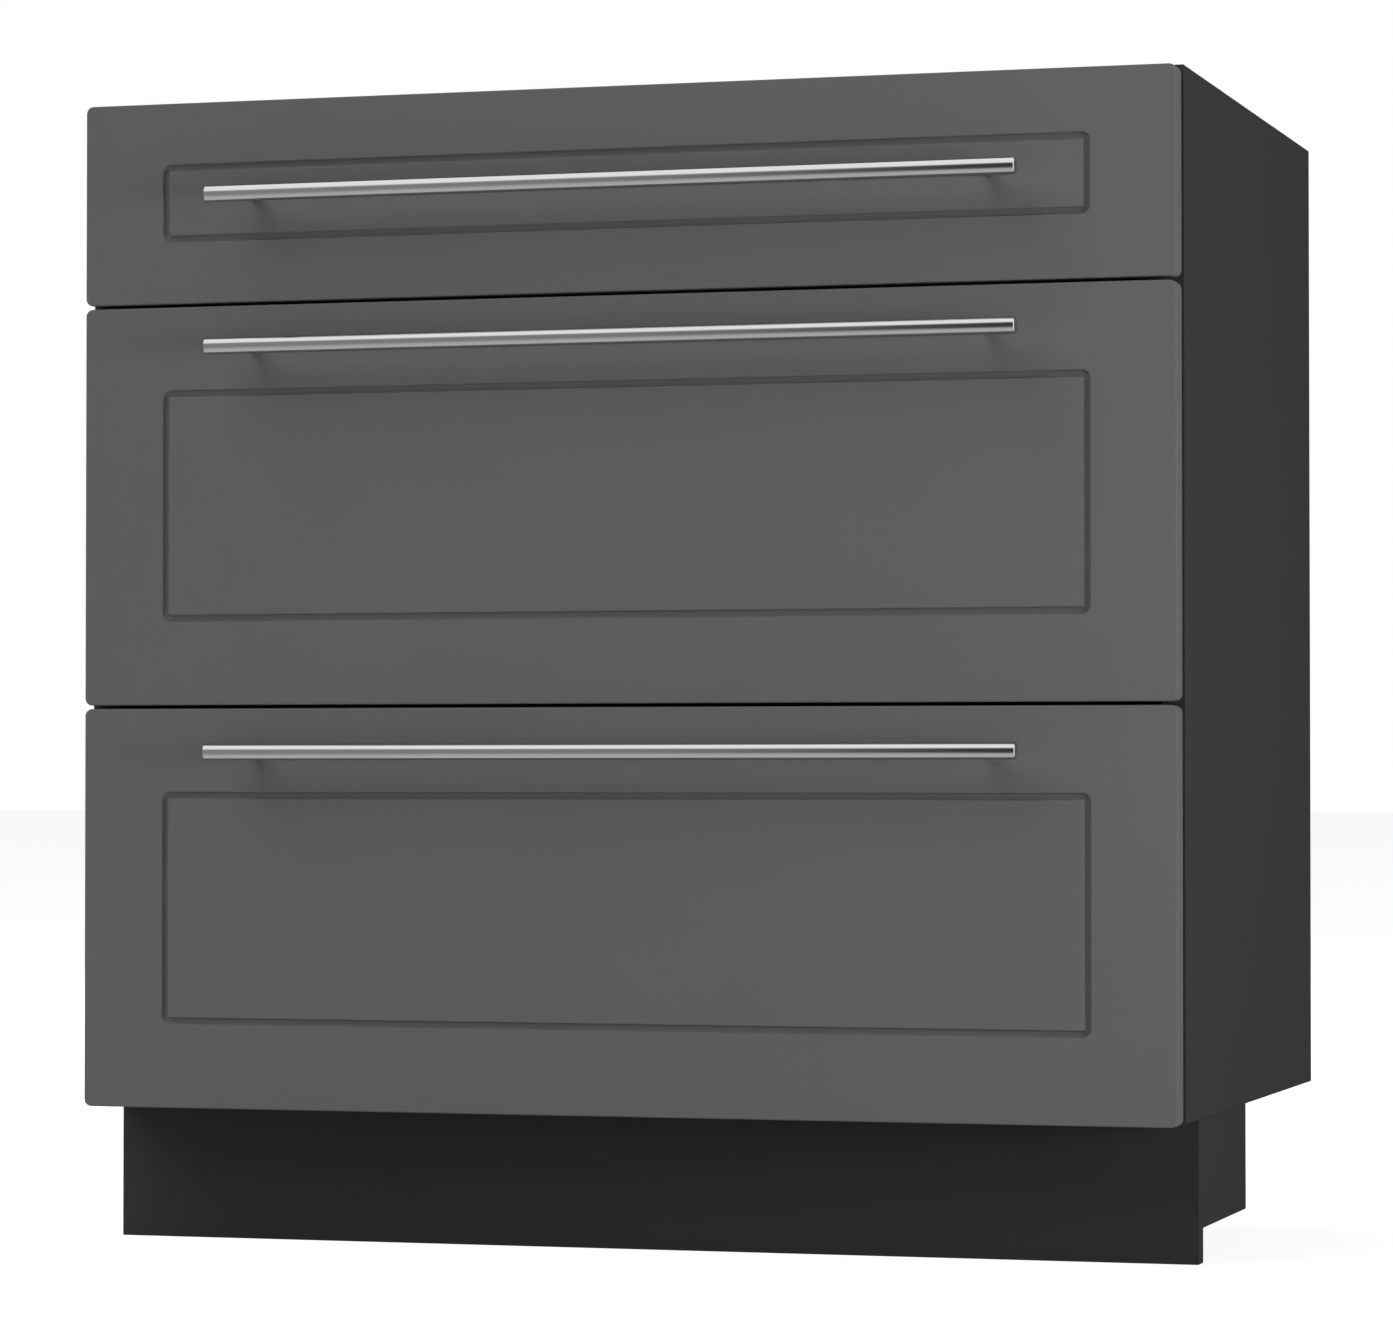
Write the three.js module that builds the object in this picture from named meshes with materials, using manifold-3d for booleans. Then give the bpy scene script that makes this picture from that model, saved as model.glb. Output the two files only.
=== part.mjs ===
// Kitchen base cabinet with three drawers, milled fronts, bar handles and a plinth.
// Millimetres. X runs across the cabinet, Y from its front to its back and Z up from the floor.
// The origin is on the floor under the middle of the whole outline, handles included.
import * as THREE from 'three';
import { mergeVertices } from 'three/addons/utils/BufferGeometryUtils.js';
import Module from 'manifold-3d';

const wasm = await Module();
wasm.setup();

// ---- Carcass --------------------------------------------------------------------------
const cabinetWidth = 800;
const carcassDepth = 500;
const carcassHeight = 719;
const board = 16; // side panels, bottom and top rails
const topRailDepth = 100; // the two top rails lie flat
const backSheet = 3; // thin back, let into grooves
const backSetback = 20; // room behind it for pipes
const backGrooveDepth = 8;
const boardPlay = 0.3; // round a board that is let into a groove or between two walls

// ---- Plinth and legs --------------------------------------------------------------------
const plinthHeight = 100;
const plinthSetback = 52; // behind the front edge of the carcass
const plinthBoard = 16;
const plinthInset = 1.5; // inside each side of the carcass
const returnLength = 162;
const returnFloorGap = 24;
const legInset = 110; // leg axis from the side of the cabinet
const legBehindPlinth = 50; // front leg axis from the rear face of the plinth
const rearLegSetback = 68; // rear leg axis from the rear edge of the carcass
const legPlateSize = 64;
const legPlateThickness = 4;
const legPlateCorner = 8;
const legScrewSpacing = 46;
const legScrewRadius = 2.25;
const sleeveRadius = 16.5;
const sleeveWall = 3;
const sleeveFlareRadius = 26;
const sleeveFlareHeight = 18;
const sleeveCeiling = 4; // closed top of the sleeve
const footRadius = 27;
const footRim = 4;
const footRingRadius = 19; // adjusting ring that the sleeve stands on
const footRingBase = 11;
const footRingTop = 30;
const stemHeadroom = 20;
const clipHeight = 20;
const clipWall = 2.5;
const clipMouth = 100; // degrees left open, where the clip snaps over the sleeve
const clipArmWidth = 12;
const clipPlateWidth = 44;
const clipPlateHeight = 32;

// ---- Drawer fronts -------------------------------------------------------------------------
const frontBoard = 18;
const bufferGap = 2; // between the rear of a front and the carcass edge
const sideReveal = 1.5; // carcass edge left bare at each side
const topReveal = 1.5;
const bottomDrop = 1.5; // the lowest front hangs below the carcass
const frontJoint = 2.5; // between two fronts
const topFrontHeight = 144;
const frontCorner = 5; // seen from the front
const frontEdgeRound = 1.2; // round-over towards the face
const grooveInset = 62; // groove centre line from the edges of a front
const topGrooveInset = 46.5; // the same at the upper and lower edge of the top front
const grooveWidth = 6;
const grooveDepth = 2.7;
const grooveCorner = 3.4; // corner radius of its centre line

// ---- Bar handles ------------------------------------------------------------------------------
const barRadius = 6;
const barLength = 588;
const barChamfer = 0.5;
const handleProjection = 35;
const postSpacing = 536;
const postRadius = 4;
const saddlePlay = 0.3;
const topHandleDrop = 69.5; // bar axis below the upper edge of the top front
const deepHandleDrop = 31; // bar axis below the upper edge of a deep front

// ---- Runners: cabinet member, middle member and the drawer member on the drawer side --------------
const runnerHeight = 45;
const runnerSheet = 1.25;
const runnerBend = 0.4; // inside radius of a bend
const slidePlay = 0.3;
const channelDepth = 10; // cabinet member, from the side panel
const channelLip = 4;
const middleStandOut = 1.2; // middle member beyond the cabinet member
const middleLip = 3.7;
const drawerSideGap = 1.5; // drawer side beyond the middle member
const runnerFrontGap = 2; // runner behind the front edge of the carcass
const runnerRearRoom = 48; // from a runner to the rear edge of the carcass
const middleShortening = 10;
const runnerRise = 48; // runner axis above the lower edge of its front
const runnerHoleRadius = 2.5;
const runnerHolePitch = 128;
const runnerFirstHole = 35;

// ---- Drawer boxes -----------------------------------------------------------------------------------
const sideRise = 24; // drawer side above the lower edge of its front
const sideHeight = 92;
const sideWidth = 13;
const sideSheet = 1;
const sideTopRound = 5;
const sideHem = 8;
const sideBend = 0.5;
const ledgeRise = 10; // underside of the drawer bottom above the drawer side's lower edge
const ledgeWidth = 18;
const drawerBoard = 16;
const backEndInset = 1;
const topBackHeight = 63;
const deepBackHeight = 175;
const galleryRise = 165; // gallery rail axis above the drawer side's lower edge
const galleryRadius = 5;
const ferruleRadius = 7;
const ferruleLength = 8;
const ferruleChamfer = 2;

// ---- Fineness of the round forms ---------------------------------------------------------------------
const bendSteps = 2;
const cornerSteps = 4;
const edgeSteps = 3;
const barSides = 28;
const postSides = 20;
const legSides = 20;
const holeSides = 8;
const weldTolerance = 1e-4;

// ---- Planes worked out from the sizes -----------------------------------------------------------------
const outlineDepth = handleProjection + frontBoard + bufferGap + carcassDepth;
const frontFaceY = -outlineDepth / 2 + handleProjection;
const frontRearY = frontFaceY + frontBoard;
const carcassFrontY = frontRearY + bufferGap;
const carcassRearY = carcassFrontY + carcassDepth;
const backRearY = carcassRearY - backSetback;
const backFrontY = backRearY - backSheet;
const barAxisY = frontFaceY - handleProjection + barRadius;
const sideFaceX = cabinetWidth / 2;
const sideInnerX = sideFaceX - board;
const frontEdgeX = sideFaceX - sideReveal;
const carcassTopZ = plinthHeight + carcassHeight;
const floorTopZ = plinthHeight + board;
const railUnderZ = carcassTopZ - board;
const frontsHeight = carcassHeight + bottomDrop - topReveal;
const deepFrontHeight = (frontsHeight - topFrontHeight - 2 * frontJoint) / 2;
const runnerLength = carcassDepth - runnerFrontGap - runnerRearRoom;
const drawerSideOut = channelDepth + middleStandOut + drawerSideGap;
const drawerSideIn = drawerSideOut + sideWidth;
const drawerSideEndY = frontRearY + runnerLength - drawerBoard;
const drawerEndY = frontRearY + runnerLength;

// ---- Finishes --------------------------------------------------------------------------------------------
function finish(color, roughness, metalness) {
  return new THREE.MeshStandardMaterial({ color, roughness, metalness });
}

const frontFoil = finish(0x5e5d5b, 0.62, 0);
const carcassFoil = finish(0x3a3a3b, 0.7, 0);
const plinthFoil = finish(0x303031, 0.7, 0);
const backFoil = finish(0x9a9a98, 0.8, 0);
const drawerFoil = finish(0xb4b5b5, 0.7, 0);
const brushedSteel = finish(0xb9bab8, 0.32, 1);
const zincedSteel = finish(0xa7abae, 0.4, 1);
const paintedSteel = finish(0x8d9194, 0.45, 0.6);
const blackPlastic = finish(0x1c1c1d, 0.55, 0);

// ---- Solids and meshes --------------------------------------------------------------------------------------
// A closed geometry as a solid: position only, corners welded, slivers of no area dropped.
function toSolid(geometry) {
  const bare = new THREE.BufferGeometry();
  bare.setAttribute('position', geometry.getAttribute('position').clone());
  if (geometry.index) bare.setIndex(geometry.index.clone());
  const welded = mergeVertices(bare, weldTolerance);
  const index = welded.index.array;
  const faces = [];
  for (let i = 0; i < index.length; i += 3) {
    const [a, b, c] = [index[i], index[i + 1], index[i + 2]];
    if (a !== b && b !== c && c !== a) faces.push(a, b, c);
  }
  const vertProperties = new Float32Array(welded.getAttribute('position').array);
  const triVerts = new Uint32Array(faces);
  return new wasm.Manifold(new wasm.Mesh({ numProp: 3, vertProperties, triVerts }));
}

function toGeometry(solid) {
  const { vertProperties, triVerts } = solid.getMesh();
  const geometry = new THREE.BufferGeometry();
  geometry.setAttribute('position', new THREE.BufferAttribute(vertProperties, 3));
  geometry.setIndex(new THREE.BufferAttribute(triVerts, 1));
  geometry.computeVertexNormals();
  return geometry;
}

function cut(geometry, cutters) {
  return toGeometry(cutters.reduce((rest, cutter) => rest.subtract(toSolid(cutter)), toSolid(geometry)));
}

function join(geometries) {
  return toGeometry(geometries.map(toSolid).reduce((sum, solid) => sum.add(solid)));
}

function named(name, geometry, material) {
  const mesh = new THREE.Mesh(geometry, material);
  mesh.name = name;
  return mesh;
}

// A box between two planes on each axis, so that neighbours share their planes exactly.
function boxBetween([lowX, highX], [lowY, highY], [lowZ, highZ]) {
  const geometry = new THREE.BoxGeometry(1, 1, 1);
  const corners = geometry.getAttribute('position');
  for (let i = 0; i < corners.count; i += 1) {
    const x = corners.getX(i) < 0 ? lowX : highX;
    const y = corners.getY(i) < 0 ? lowY : highY;
    const z = corners.getZ(i) < 0 ? lowZ : highZ;
    corners.setXYZ(i, x, y, z);
  }
  return geometry;
}

// The same geometry on the other side of the cabinet's middle plane.
function mirrored(geometry) {
  const copy = geometry.clone();
  const corners = copy.getAttribute('position');
  for (let i = 0; i < corners.count; i += 1) corners.setX(i, -corners.getX(i));
  if (!copy.index) copy.setIndex([...Array(corners.count).keys()]);
  const index = copy.index.array;
  for (let i = 0; i < index.length; i += 3) {
    [index[i + 1], index[i + 2]] = [index[i + 2], index[i + 1]];
  }
  copy.computeVertexNormals();
  return copy;
}

// A right-hand and a left-hand mesh of one geometry, which is given for the right-hand side.
function pair(nameOf, geometry, material) {
  return [
    named(nameOf('left'), mirrored(geometry), material),
    named(nameOf('right'), geometry, material),
  ];
}

// ---- Folded sheet profiles -------------------------------------------------------------------------------------
// The outline of a sheet that follows a line of corners [x, y, inside bend radius].
function foldedSheet(corners, thickness) {
  const half = thickness / 2;
  const line = corners.map(([x, y]) => new THREE.Vector2(x, y));
  const spine = [];
  const addEnd = (point, along) => spine.push({ point, normal: new THREE.Vector2(-along.y, along.x) });

  addEnd(line[0], line[1].clone().sub(line[0]).normalize());
  for (let i = 1; i < line.length - 1; i += 1) {
    const arriving = line[i].clone().sub(line[i - 1]).normalize();
    const leaving = line[i + 1].clone().sub(line[i]).normalize();
    const turn = Math.sign(arriving.cross(leaving));
    const bendAngle = arriving.angleTo(leaving);
    const room = Math.min(line[i].distanceTo(line[i - 1]), line[i].distanceTo(line[i + 1])) / 2;
    const radius = Math.min(corners[i][2] + half, room / Math.tan(bendAngle / 2));
    const start = line[i].clone().addScaledVector(arriving, -radius * Math.tan(bendAngle / 2));
    const startNormal = new THREE.Vector2(-arriving.y, arriving.x);
    const centre = start.clone().addScaledVector(startNormal, turn * radius);
    for (let step = 0; step <= bendSteps; step += 1) {
      const angle = (turn * bendAngle * step) / bendSteps;
      const normal = startNormal.clone().rotateAround(new THREE.Vector2(), angle);
      spine.push({ point: centre.clone().addScaledVector(normal, -turn * radius), normal });
    }
  }
  const last = line.length - 1;
  addEnd(line[last], line[last].clone().sub(line[last - 1]).normalize());

  const leftEdge = spine.map(({ point, normal }) => point.clone().addScaledVector(normal, half));
  const rightEdge = spine.map(({ point, normal }) => point.clone().addScaledVector(normal, -half));
  return new THREE.Shape([...leftEdge, ...rightEdge.reverse()]);
}

// A profile drawn out between two planes. place turns (a, b, along) into [x, y, z].
function drawnOut(shape, [from, to], place) {
  const geometry = new THREE.ExtrudeGeometry(shape, { depth: 1, bevelEnabled: false });
  const corners = geometry.getAttribute('position');
  for (let i = 0; i < corners.count; i += 1) {
    const along = corners.getZ(i) < 0.5 ? from : to;
    corners.setXYZ(i, ...place(corners.getX(i), corners.getY(i), along));
  }
  return geometry;
}

// A right-hand runner or drawer side, drawn as (distance from the side panel, height).
function drawnAlongY(shape, fromTo, rise) {
  return drawnOut(shape, fromTo, (out, height, along) => [sideInnerX - out, along, rise + height]);
}

function outline(points) {
  return new THREE.Shape(points.map(([x, y]) => new THREE.Vector2(x, y)));
}

// ---- Lofts through rounded rectangles -----------------------------------------------------------------------------
// A rounded rectangle in the XZ plane at one depth, as a ring of points.
function roundedRing(halfWidth, lowZ, highZ, radius, y) {
  const ring = [];
  const cornersRound = [
    [halfWidth - radius, lowZ + radius, -0.5],
    [halfWidth - radius, highZ - radius, 0],
    [-halfWidth + radius, highZ - radius, 0.5],
    [-halfWidth + radius, lowZ + radius, 1],
  ];
  for (const [x, z, startTurn] of cornersRound) {
    for (let step = 0; step <= cornerSteps; step += 1) {
      const angle = Math.PI * (startTurn + (0.5 * step) / cornerSteps);
      ring.push([x + radius * Math.cos(angle), y, z + radius * Math.sin(angle)]);
    }
  }
  return ring;
}

// A closed skin over a row of rings, with a flat cap on the first and the last one.
function lofted(rings) {
  const count = rings[0].length;
  const index = [];
  for (let ring = 0; ring < rings.length - 1; ring += 1) {
    for (let i = 0; i < count; i += 1) {
      const next = (i + 1) % count;
      const here = ring * count;
      const there = here + count;
      index.push(here + i, here + next, there + i);
      index.push(here + next, there + next, there + i);
    }
  }
  const capOf = (ring) => THREE.ShapeUtils.triangulateShape(
    ring.map(([x, , z]) => new THREE.Vector2(x, z)), []);
  const lastRing = (rings.length - 1) * count;
  for (const [a, b, c] of capOf(rings[0])) index.push(a, c, b);
  for (const [a, b, c] of capOf(rings[rings.length - 1])) index.push(lastRing + a, lastRing + b, lastRing + c);
  const geometry = new THREE.BufferGeometry();
  geometry.setAttribute('position', new THREE.Float32BufferAttribute(rings.flat(2), 3));
  geometry.setIndex(index);
  geometry.computeVertexNormals();
  return geometry;
}

// ---- Turned forms ------------------------------------------------------------------------------------------------------
// A profile of [radius, height] turned about the Y axis of its mesh.
function turned(profile, sides) {
  return new THREE.LatheGeometry(profile.map(([radius, height]) => new THREE.Vector2(radius, height)), sides);
}

// The same, turned about the Z axis.
function turnedUpright(profile, sides) {
  return turned(profile, sides).rotateX(Math.PI / 2);
}

// ---- Carcass pieces --------------------------------------------------------------------------------------------------------
const backGrooveFrontY = backFrontY - boardPlay;
const backGrooveRearY = backRearY + boardPlay;

// In plan, with the groove for the back in its inner face.
function sidePanel() {
  const grooveFloorX = sideInnerX + backGrooveDepth;
  const plan = outline([
    [sideInnerX, carcassFrontY],
    [sideFaceX, carcassFrontY],
    [sideFaceX, carcassRearY],
    [sideInnerX, carcassRearY],
    [sideInnerX, backGrooveRearY],
    [grooveFloorX, backGrooveRearY],
    [grooveFloorX, backGrooveFrontY],
    [sideInnerX, backGrooveFrontY],
  ]);
  return drawnOut(plan, [plinthHeight, carcassTopZ], (x, y, z) => [x, y, z]);
}

// A board between the side panels, seen from its end, with the groove for the back in one face.
function groovedCrossBoard(frontY, groovedZ, plainZ) {
  const grooveFloorZ = groovedZ + Math.sign(plainZ - groovedZ) * backGrooveDepth;
  const section = outline([
    [frontY, plainZ],
    [carcassRearY, plainZ],
    [carcassRearY, groovedZ],
    [backGrooveRearY, groovedZ],
    [backGrooveRearY, grooveFloorZ],
    [backGrooveFrontY, grooveFloorZ],
    [backGrooveFrontY, groovedZ],
    [frontY, groovedZ],
  ]);
  return drawnOut(section, [-sideInnerX, sideInnerX], (y, z, x) => [x, y, z]);
}

function bottomPanel() {
  return groovedCrossBoard(carcassFrontY, floorTopZ, plinthHeight);
}

function rearRail() {
  return groovedCrossBoard(carcassRearY - topRailDepth, railUnderZ, carcassTopZ);
}

function frontRail() {
  const railY = [carcassFrontY, carcassFrontY + topRailDepth];
  return boxBetween([-sideInnerX, sideInnerX], railY, [railUnderZ, carcassTopZ]);
}

function backPanel() {
  const reach = backGrooveDepth - boardPlay;
  const edgeX = sideInnerX + reach;
  return boxBetween([-edgeX, edgeX], [backFrontY, backRearY], [floorTopZ - reach, railUnderZ + reach]);
}

function carcass() {
  const group = new THREE.Group();
  group.add(...pair((side) => `side_panel_${side}`, sidePanel(), carcassFoil));
  group.add(named('bottom_panel', bottomPanel(), carcassFoil));
  group.add(named('front_rail', frontRail(), carcassFoil));
  group.add(named('rear_rail', rearRail(), carcassFoil));
  group.add(named('back_panel', backPanel(), backFoil));
  return group;
}

// ---- Plinth -----------------------------------------------------------------------------------------------------------------------
const plinthEdgeX = sideFaceX - plinthInset;
const plinthFaceY = carcassFrontY + plinthSetback;
const plinthRearY = plinthFaceY + plinthBoard;

function plinthReturn() {
  const acrossX = [plinthEdgeX - plinthBoard, plinthEdgeX];
  return boxBetween(acrossX, [plinthRearY, plinthRearY + returnLength], [returnFloorGap, plinthHeight]);
}

function plinth() {
  const group = new THREE.Group();
  const face = boxBetween([-plinthEdgeX, plinthEdgeX], [plinthFaceY, plinthRearY], [0, plinthHeight]);
  group.add(named('plinth_front', face, plinthFoil));
  group.add(...pair((side) => `plinth_return_${side}`, plinthReturn(), plinthFoil));
  return group;
}

// ---- Adjustable legs ------------------------------------------------------------------------------------------------------------------
const legX = sideFaceX - legInset;
const frontLegY = plinthRearY + legBehindPlinth;
const rearLegY = carcassRearY - rearLegSetback;
const sleeveTopZ = plinthHeight - legPlateThickness;
const sleeveBore = sleeveRadius - sleeveWall;

// A screw plate with a flared sleeve under it, open at the bottom.
function legSleeve() {
  const half = legPlateSize / 2;
  const plateRings = [sleeveTopZ, plinthHeight].map((z) => (
    roundedRing(half, -half, half, legPlateCorner, -z)));
  const plate = lofted(plateRings).rotateX(-Math.PI / 2);
  const ceilingZ = sleeveTopZ - sleeveCeiling;
  const sleeve = turnedUpright([
    [0, ceilingZ],
    [sleeveBore, ceilingZ],
    [sleeveBore, footRingTop],
    [sleeveRadius, footRingTop],
    [sleeveRadius, sleeveTopZ - sleeveFlareHeight],
    [sleeveFlareRadius, sleeveTopZ],
    [0, sleeveTopZ],
  ], legSides);
  const holes = [];
  for (const x of [-legScrewSpacing / 2, legScrewSpacing / 2]) {
    for (const y of [-legScrewSpacing / 2, legScrewSpacing / 2]) {
      const hole = new THREE.CylinderGeometry(legScrewRadius, legScrewRadius, 4 * legPlateThickness, holeSides);
      holes.push(hole.rotateX(Math.PI / 2).translate(x, y, plinthHeight));
    }
  }
  return cut(join([plate, sleeve]), holes);
}

// A foot whose stem turns in the sleeve, with the ring that carries the sleeve.
function legFoot() {
  const stemRadius = sleeveBore - slidePlay;
  const ringTop = footRingTop - slidePlay;
  const stemTop = sleeveTopZ - sleeveCeiling - stemHeadroom;
  return turnedUpright([
    [0, 0],
    [footRadius, 0],
    [footRadius, footRim],
    [footRingRadius, footRingBase],
    [footRingRadius, ringTop],
    [stemRadius, ringTop],
    [stemRadius, stemTop],
    [0, stemTop],
  ], legSides);
}

// A snap ring round a front leg, with an arm and a screw plate on the rear of the plinth.
function plinthClip() {
  const ringInner = sleeveRadius + slidePlay;
  const ringOuter = ringInner + clipWall;
  const mouth = THREE.MathUtils.degToRad(clipMouth / 2);
  const [fromAngle, toAngle] = [Math.PI / 2 + mouth, Math.PI * 2.5 - mouth];
  const ringShape = new THREE.Shape();
  ringShape.absarc(0, 0, ringOuter, fromAngle, toAngle, false);
  ringShape.absarc(0, 0, ringInner, toAngle, fromAngle, true);
  const middleZ = (footRingTop + sleeveTopZ - sleeveFlareHeight) / 2;
  const ring = new THREE.ExtrudeGeometry(ringShape, { depth: clipHeight, bevelEnabled: false, curveSegments: legSides });
  ring.translate(0, 0, middleZ - clipHeight / 2);
  const armMiddle = -(ringInner + clipWall / 2);
  const armZ = [middleZ - clipHeight / 2, middleZ + clipHeight / 2];
  const arm = boxBetween([-clipArmWidth / 2, clipArmWidth / 2], [-legBehindPlinth, armMiddle], armZ);
  const plateZ = [middleZ - clipPlateHeight / 2, middleZ + clipPlateHeight / 2];
  const plateY = [-legBehindPlinth, -legBehindPlinth + clipWall];
  const plate = boxBetween([-clipPlateWidth / 2, clipPlateWidth / 2], plateY, plateZ);
  return join([ring, arm, plate]);
}

function legs() {
  const group = new THREE.Group();
  const sleeve = legSleeve();
  const foot = legFoot();
  const clip = plinthClip();
  for (const [side, x] of [['left', -legX], ['right', legX]]) {
    for (const [end, y] of [['front', frontLegY], ['rear', rearLegY]]) {
      const leg = new THREE.Group();
      leg.position.set(x, y, 0);
      leg.add(named(`leg_sleeve_${end}_${side}`, sleeve, blackPlastic));
      leg.add(named(`leg_foot_${end}_${side}`, foot, blackPlastic));
      if (end === 'front') leg.add(named(`plinth_clip_${side}`, clip, blackPlastic));
      group.add(leg);
    }
  }
  return group;
}

// ---- Runner profiles, drawn for a right-hand runner about its own axis ------------------------------------------------------------------
const halfSheet = runnerSheet / 2;
const halfRunner = runnerHeight / 2;
const middleWeb = runnerSheet + slidePlay + halfSheet;
const middleRidge = halfRunner - runnerSheet - slidePlay - halfSheet;
const middleStep = channelDepth - runnerSheet - slidePlay - halfSheet;
const middleFlange = halfRunner - channelLip - slidePlay - halfSheet;
const middleLipFace = channelDepth + middleStandOut - halfSheet;
const middleLipEnd = middleFlange + halfSheet - middleLip;
const halfSide = sideSheet / 2;
const drawerWeb = middleWeb + halfSheet + slidePlay + halfSide;
const drawerRidge = middleFlange - halfSheet - slidePlay - halfSide;
const drawerStep = middleLipFace - halfSheet - slidePlay - halfSide;
const drawerNeck = middleLipEnd - slidePlay - halfSide;

// Half of a profile that is the same above and below its axis, made whole.
function balanced(upperHalf) {
  const lowerHalf = upperHalf.map(([x, y, radius]) => [x, -y, radius]).reverse();
  return [...upperHalf, ...lowerHalf];
}

// A channel whose lips hold the middle member.
function cabinetMemberProfile() {
  return foldedSheet(balanced([
    [channelDepth - halfSheet, halfRunner - channelLip, 0],
    [channelDepth - halfSheet, halfRunner - halfSheet, runnerBend],
    [halfSheet, halfRunner - halfSheet, runnerBend],
  ]), runnerSheet);
}

// A stepped channel: its ridges run behind the outer lips, and its own lips hold the drawer member.
function middleMemberProfile() {
  return foldedSheet(balanced([
    [middleLipFace, middleLipEnd, 0],
    [middleLipFace, middleFlange, runnerBend],
    [middleStep, middleFlange, runnerBend],
    [middleStep, middleRidge, runnerBend],
    [middleWeb, middleRidge, runnerBend],
  ]), runnerSheet);
}

const runnerStartY = carcassFrontY + runnerFrontGap;

function cabinetMember() {
  const fromTo = [runnerStartY, runnerStartY + runnerLength];
  const member = drawnAlongY(cabinetMemberProfile(), fromTo, 0);
  const holes = [];
  for (let along = runnerFirstHole; along < runnerLength; along += runnerHolePitch) {
    const hole = new THREE.CylinderGeometry(runnerHoleRadius, runnerHoleRadius, 3 * runnerSheet, holeSides);
    holes.push(hole.rotateZ(Math.PI / 2).translate(sideInnerX - halfSheet, runnerStartY + along, 0));
  }
  return cut(member, holes);
}

function middleMember() {
  const startY = runnerStartY + middleShortening / 2;
  return drawnAlongY(middleMemberProfile(), [startY, startY + runnerLength - middleShortening], 0);
}

// ---- Drawer pieces, in the frame of a drawer: Z = 0 at the lower edge of its front ---------------------------------------------------------
// Rings from the rear of the front, round its edge and through the milled groove.
function drawerFront(height, endInset) {
  const rings = [];
  const addRing = (inset, radius, y) => {
    const insetZ = inset + (inset > frontEdgeRound ? endInset - grooveInset : 0);
    rings.push(roundedRing(frontEdgeX - inset, insetZ, height - insetZ, radius, y));
  };
  addRing(0, frontCorner, frontRearY);
  for (let step = 0; step <= edgeSteps; step += 1) {
    const angle = (Math.PI / 2) * (step / edgeSteps);
    const inset = frontEdgeRound * (1 - Math.cos(angle));
    addRing(inset, frontCorner - inset, frontFaceY + frontEdgeRound * (1 - Math.sin(angle)));
  }
  // Half a groove as shares of its half width and depth: a round lip, a steep wall and a flat floor.
  const halfGroove = [[1, 0], [0.86, 0.08], [0.76, 0.32], [0.68, 0.84], [0.52, 1]];
  const grooveProfile = [...halfGroove, ...halfGroove.map(([out, deep]) => [-out, deep]).reverse()];
  for (const [out, deep] of grooveProfile) {
    const offset = (out * grooveWidth) / 2;
    addRing(grooveInset - offset, grooveCorner + offset, frontFaceY + deep * grooveDepth);
  }
  return lofted(rings);
}

// The double wall of a drawer side. From its hem, the outer wall is folded out into the ridged
// drawer member of the runner, and the inner wall ends in a ledge for the drawer bottom.
function drawerSide() {
  const outerWall = drawerSideOut + halfSide;
  const innerWall = drawerSideIn - halfSide;
  const memberAxis = runnerRise - sideRise;
  return drawnAlongY(foldedSheet([
    [outerWall + sideHem, halfSide, 0],
    [outerWall, halfSide, sideBend],
    [outerWall, memberAxis - drawerNeck, sideBend],
    [drawerStep, memberAxis - drawerNeck, sideBend],
    [drawerStep, memberAxis - drawerRidge, sideBend],
    [drawerWeb, memberAxis - drawerRidge, sideBend],
    [drawerWeb, memberAxis + drawerRidge, sideBend],
    [drawerStep, memberAxis + drawerRidge, sideBend],
    [drawerStep, memberAxis + drawerNeck, sideBend],
    [outerWall, memberAxis + drawerNeck, sideBend],
    [outerWall, sideHeight - halfSide, sideTopRound],
    [innerWall, sideHeight - halfSide, sideTopRound],
    [innerWall, ledgeRise - halfSide, sideBend],
    [innerWall + halfSide + ledgeWidth, ledgeRise - halfSide, 0],
  ], sideSheet), [frontRearY, drawerSideEndY], sideRise);
}

const drawerFloorUnder = sideRise + ledgeRise;
const drawerFloorTop = drawerFloorUnder + drawerBoard;

// It lies on the two ledges, just clear of the bends that they start from.
function drawerBottom() {
  const edgeX = sideInnerX - drawerSideIn - sideBend;
  return boxBetween([-edgeX, edgeX], [frontRearY, drawerEndY], [drawerFloorUnder, drawerFloorTop]);
}

function drawerBack(height) {
  const edgeX = sideInnerX - drawerSideOut - backEndInset;
  return boxBetween([-edgeX, edgeX], [drawerSideEndY, drawerEndY], [drawerFloorTop, drawerFloorTop + height]);
}

// A round rail from the front to the drawer back, with a ferrule at each end.
function galleryRail() {
  const length = drawerSideEndY - frontRearY;
  const halfRail = [
    [0, 0],
    [ferruleRadius, 0],
    [ferruleRadius, ferruleLength],
    [galleryRadius, ferruleLength + ferruleChamfer],
  ];
  const otherHalf = halfRail.map(([radius, along]) => [radius, length - along]).reverse();
  return turned([...halfRail, ...otherHalf], postSides);
}

function handleBar() {
  const half = barLength / 2;
  return turned([
    [0, -half],
    [barRadius - barChamfer, -half],
    [barRadius, -half + barChamfer],
    [barRadius, half - barChamfer],
    [barRadius - barChamfer, half],
    [0, half],
  ], barSides);
}

// A post from the front to the bar, with a saddle for the bar at its end.
function handlePost() {
  const barDistance = handleProjection - barRadius;
  const post = turned([[0, 0], [postRadius, 0], [postRadius, barDistance], [0, barDistance]], postSides);
  const saddleRadius = barRadius + saddlePlay;
  const saddle = new THREE.CylinderGeometry(saddleRadius, saddleRadius, 4 * postRadius, barSides);
  return cut(post, [saddle.rotateZ(Math.PI / 2).translate(0, barDistance, 0)]);
}

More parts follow.
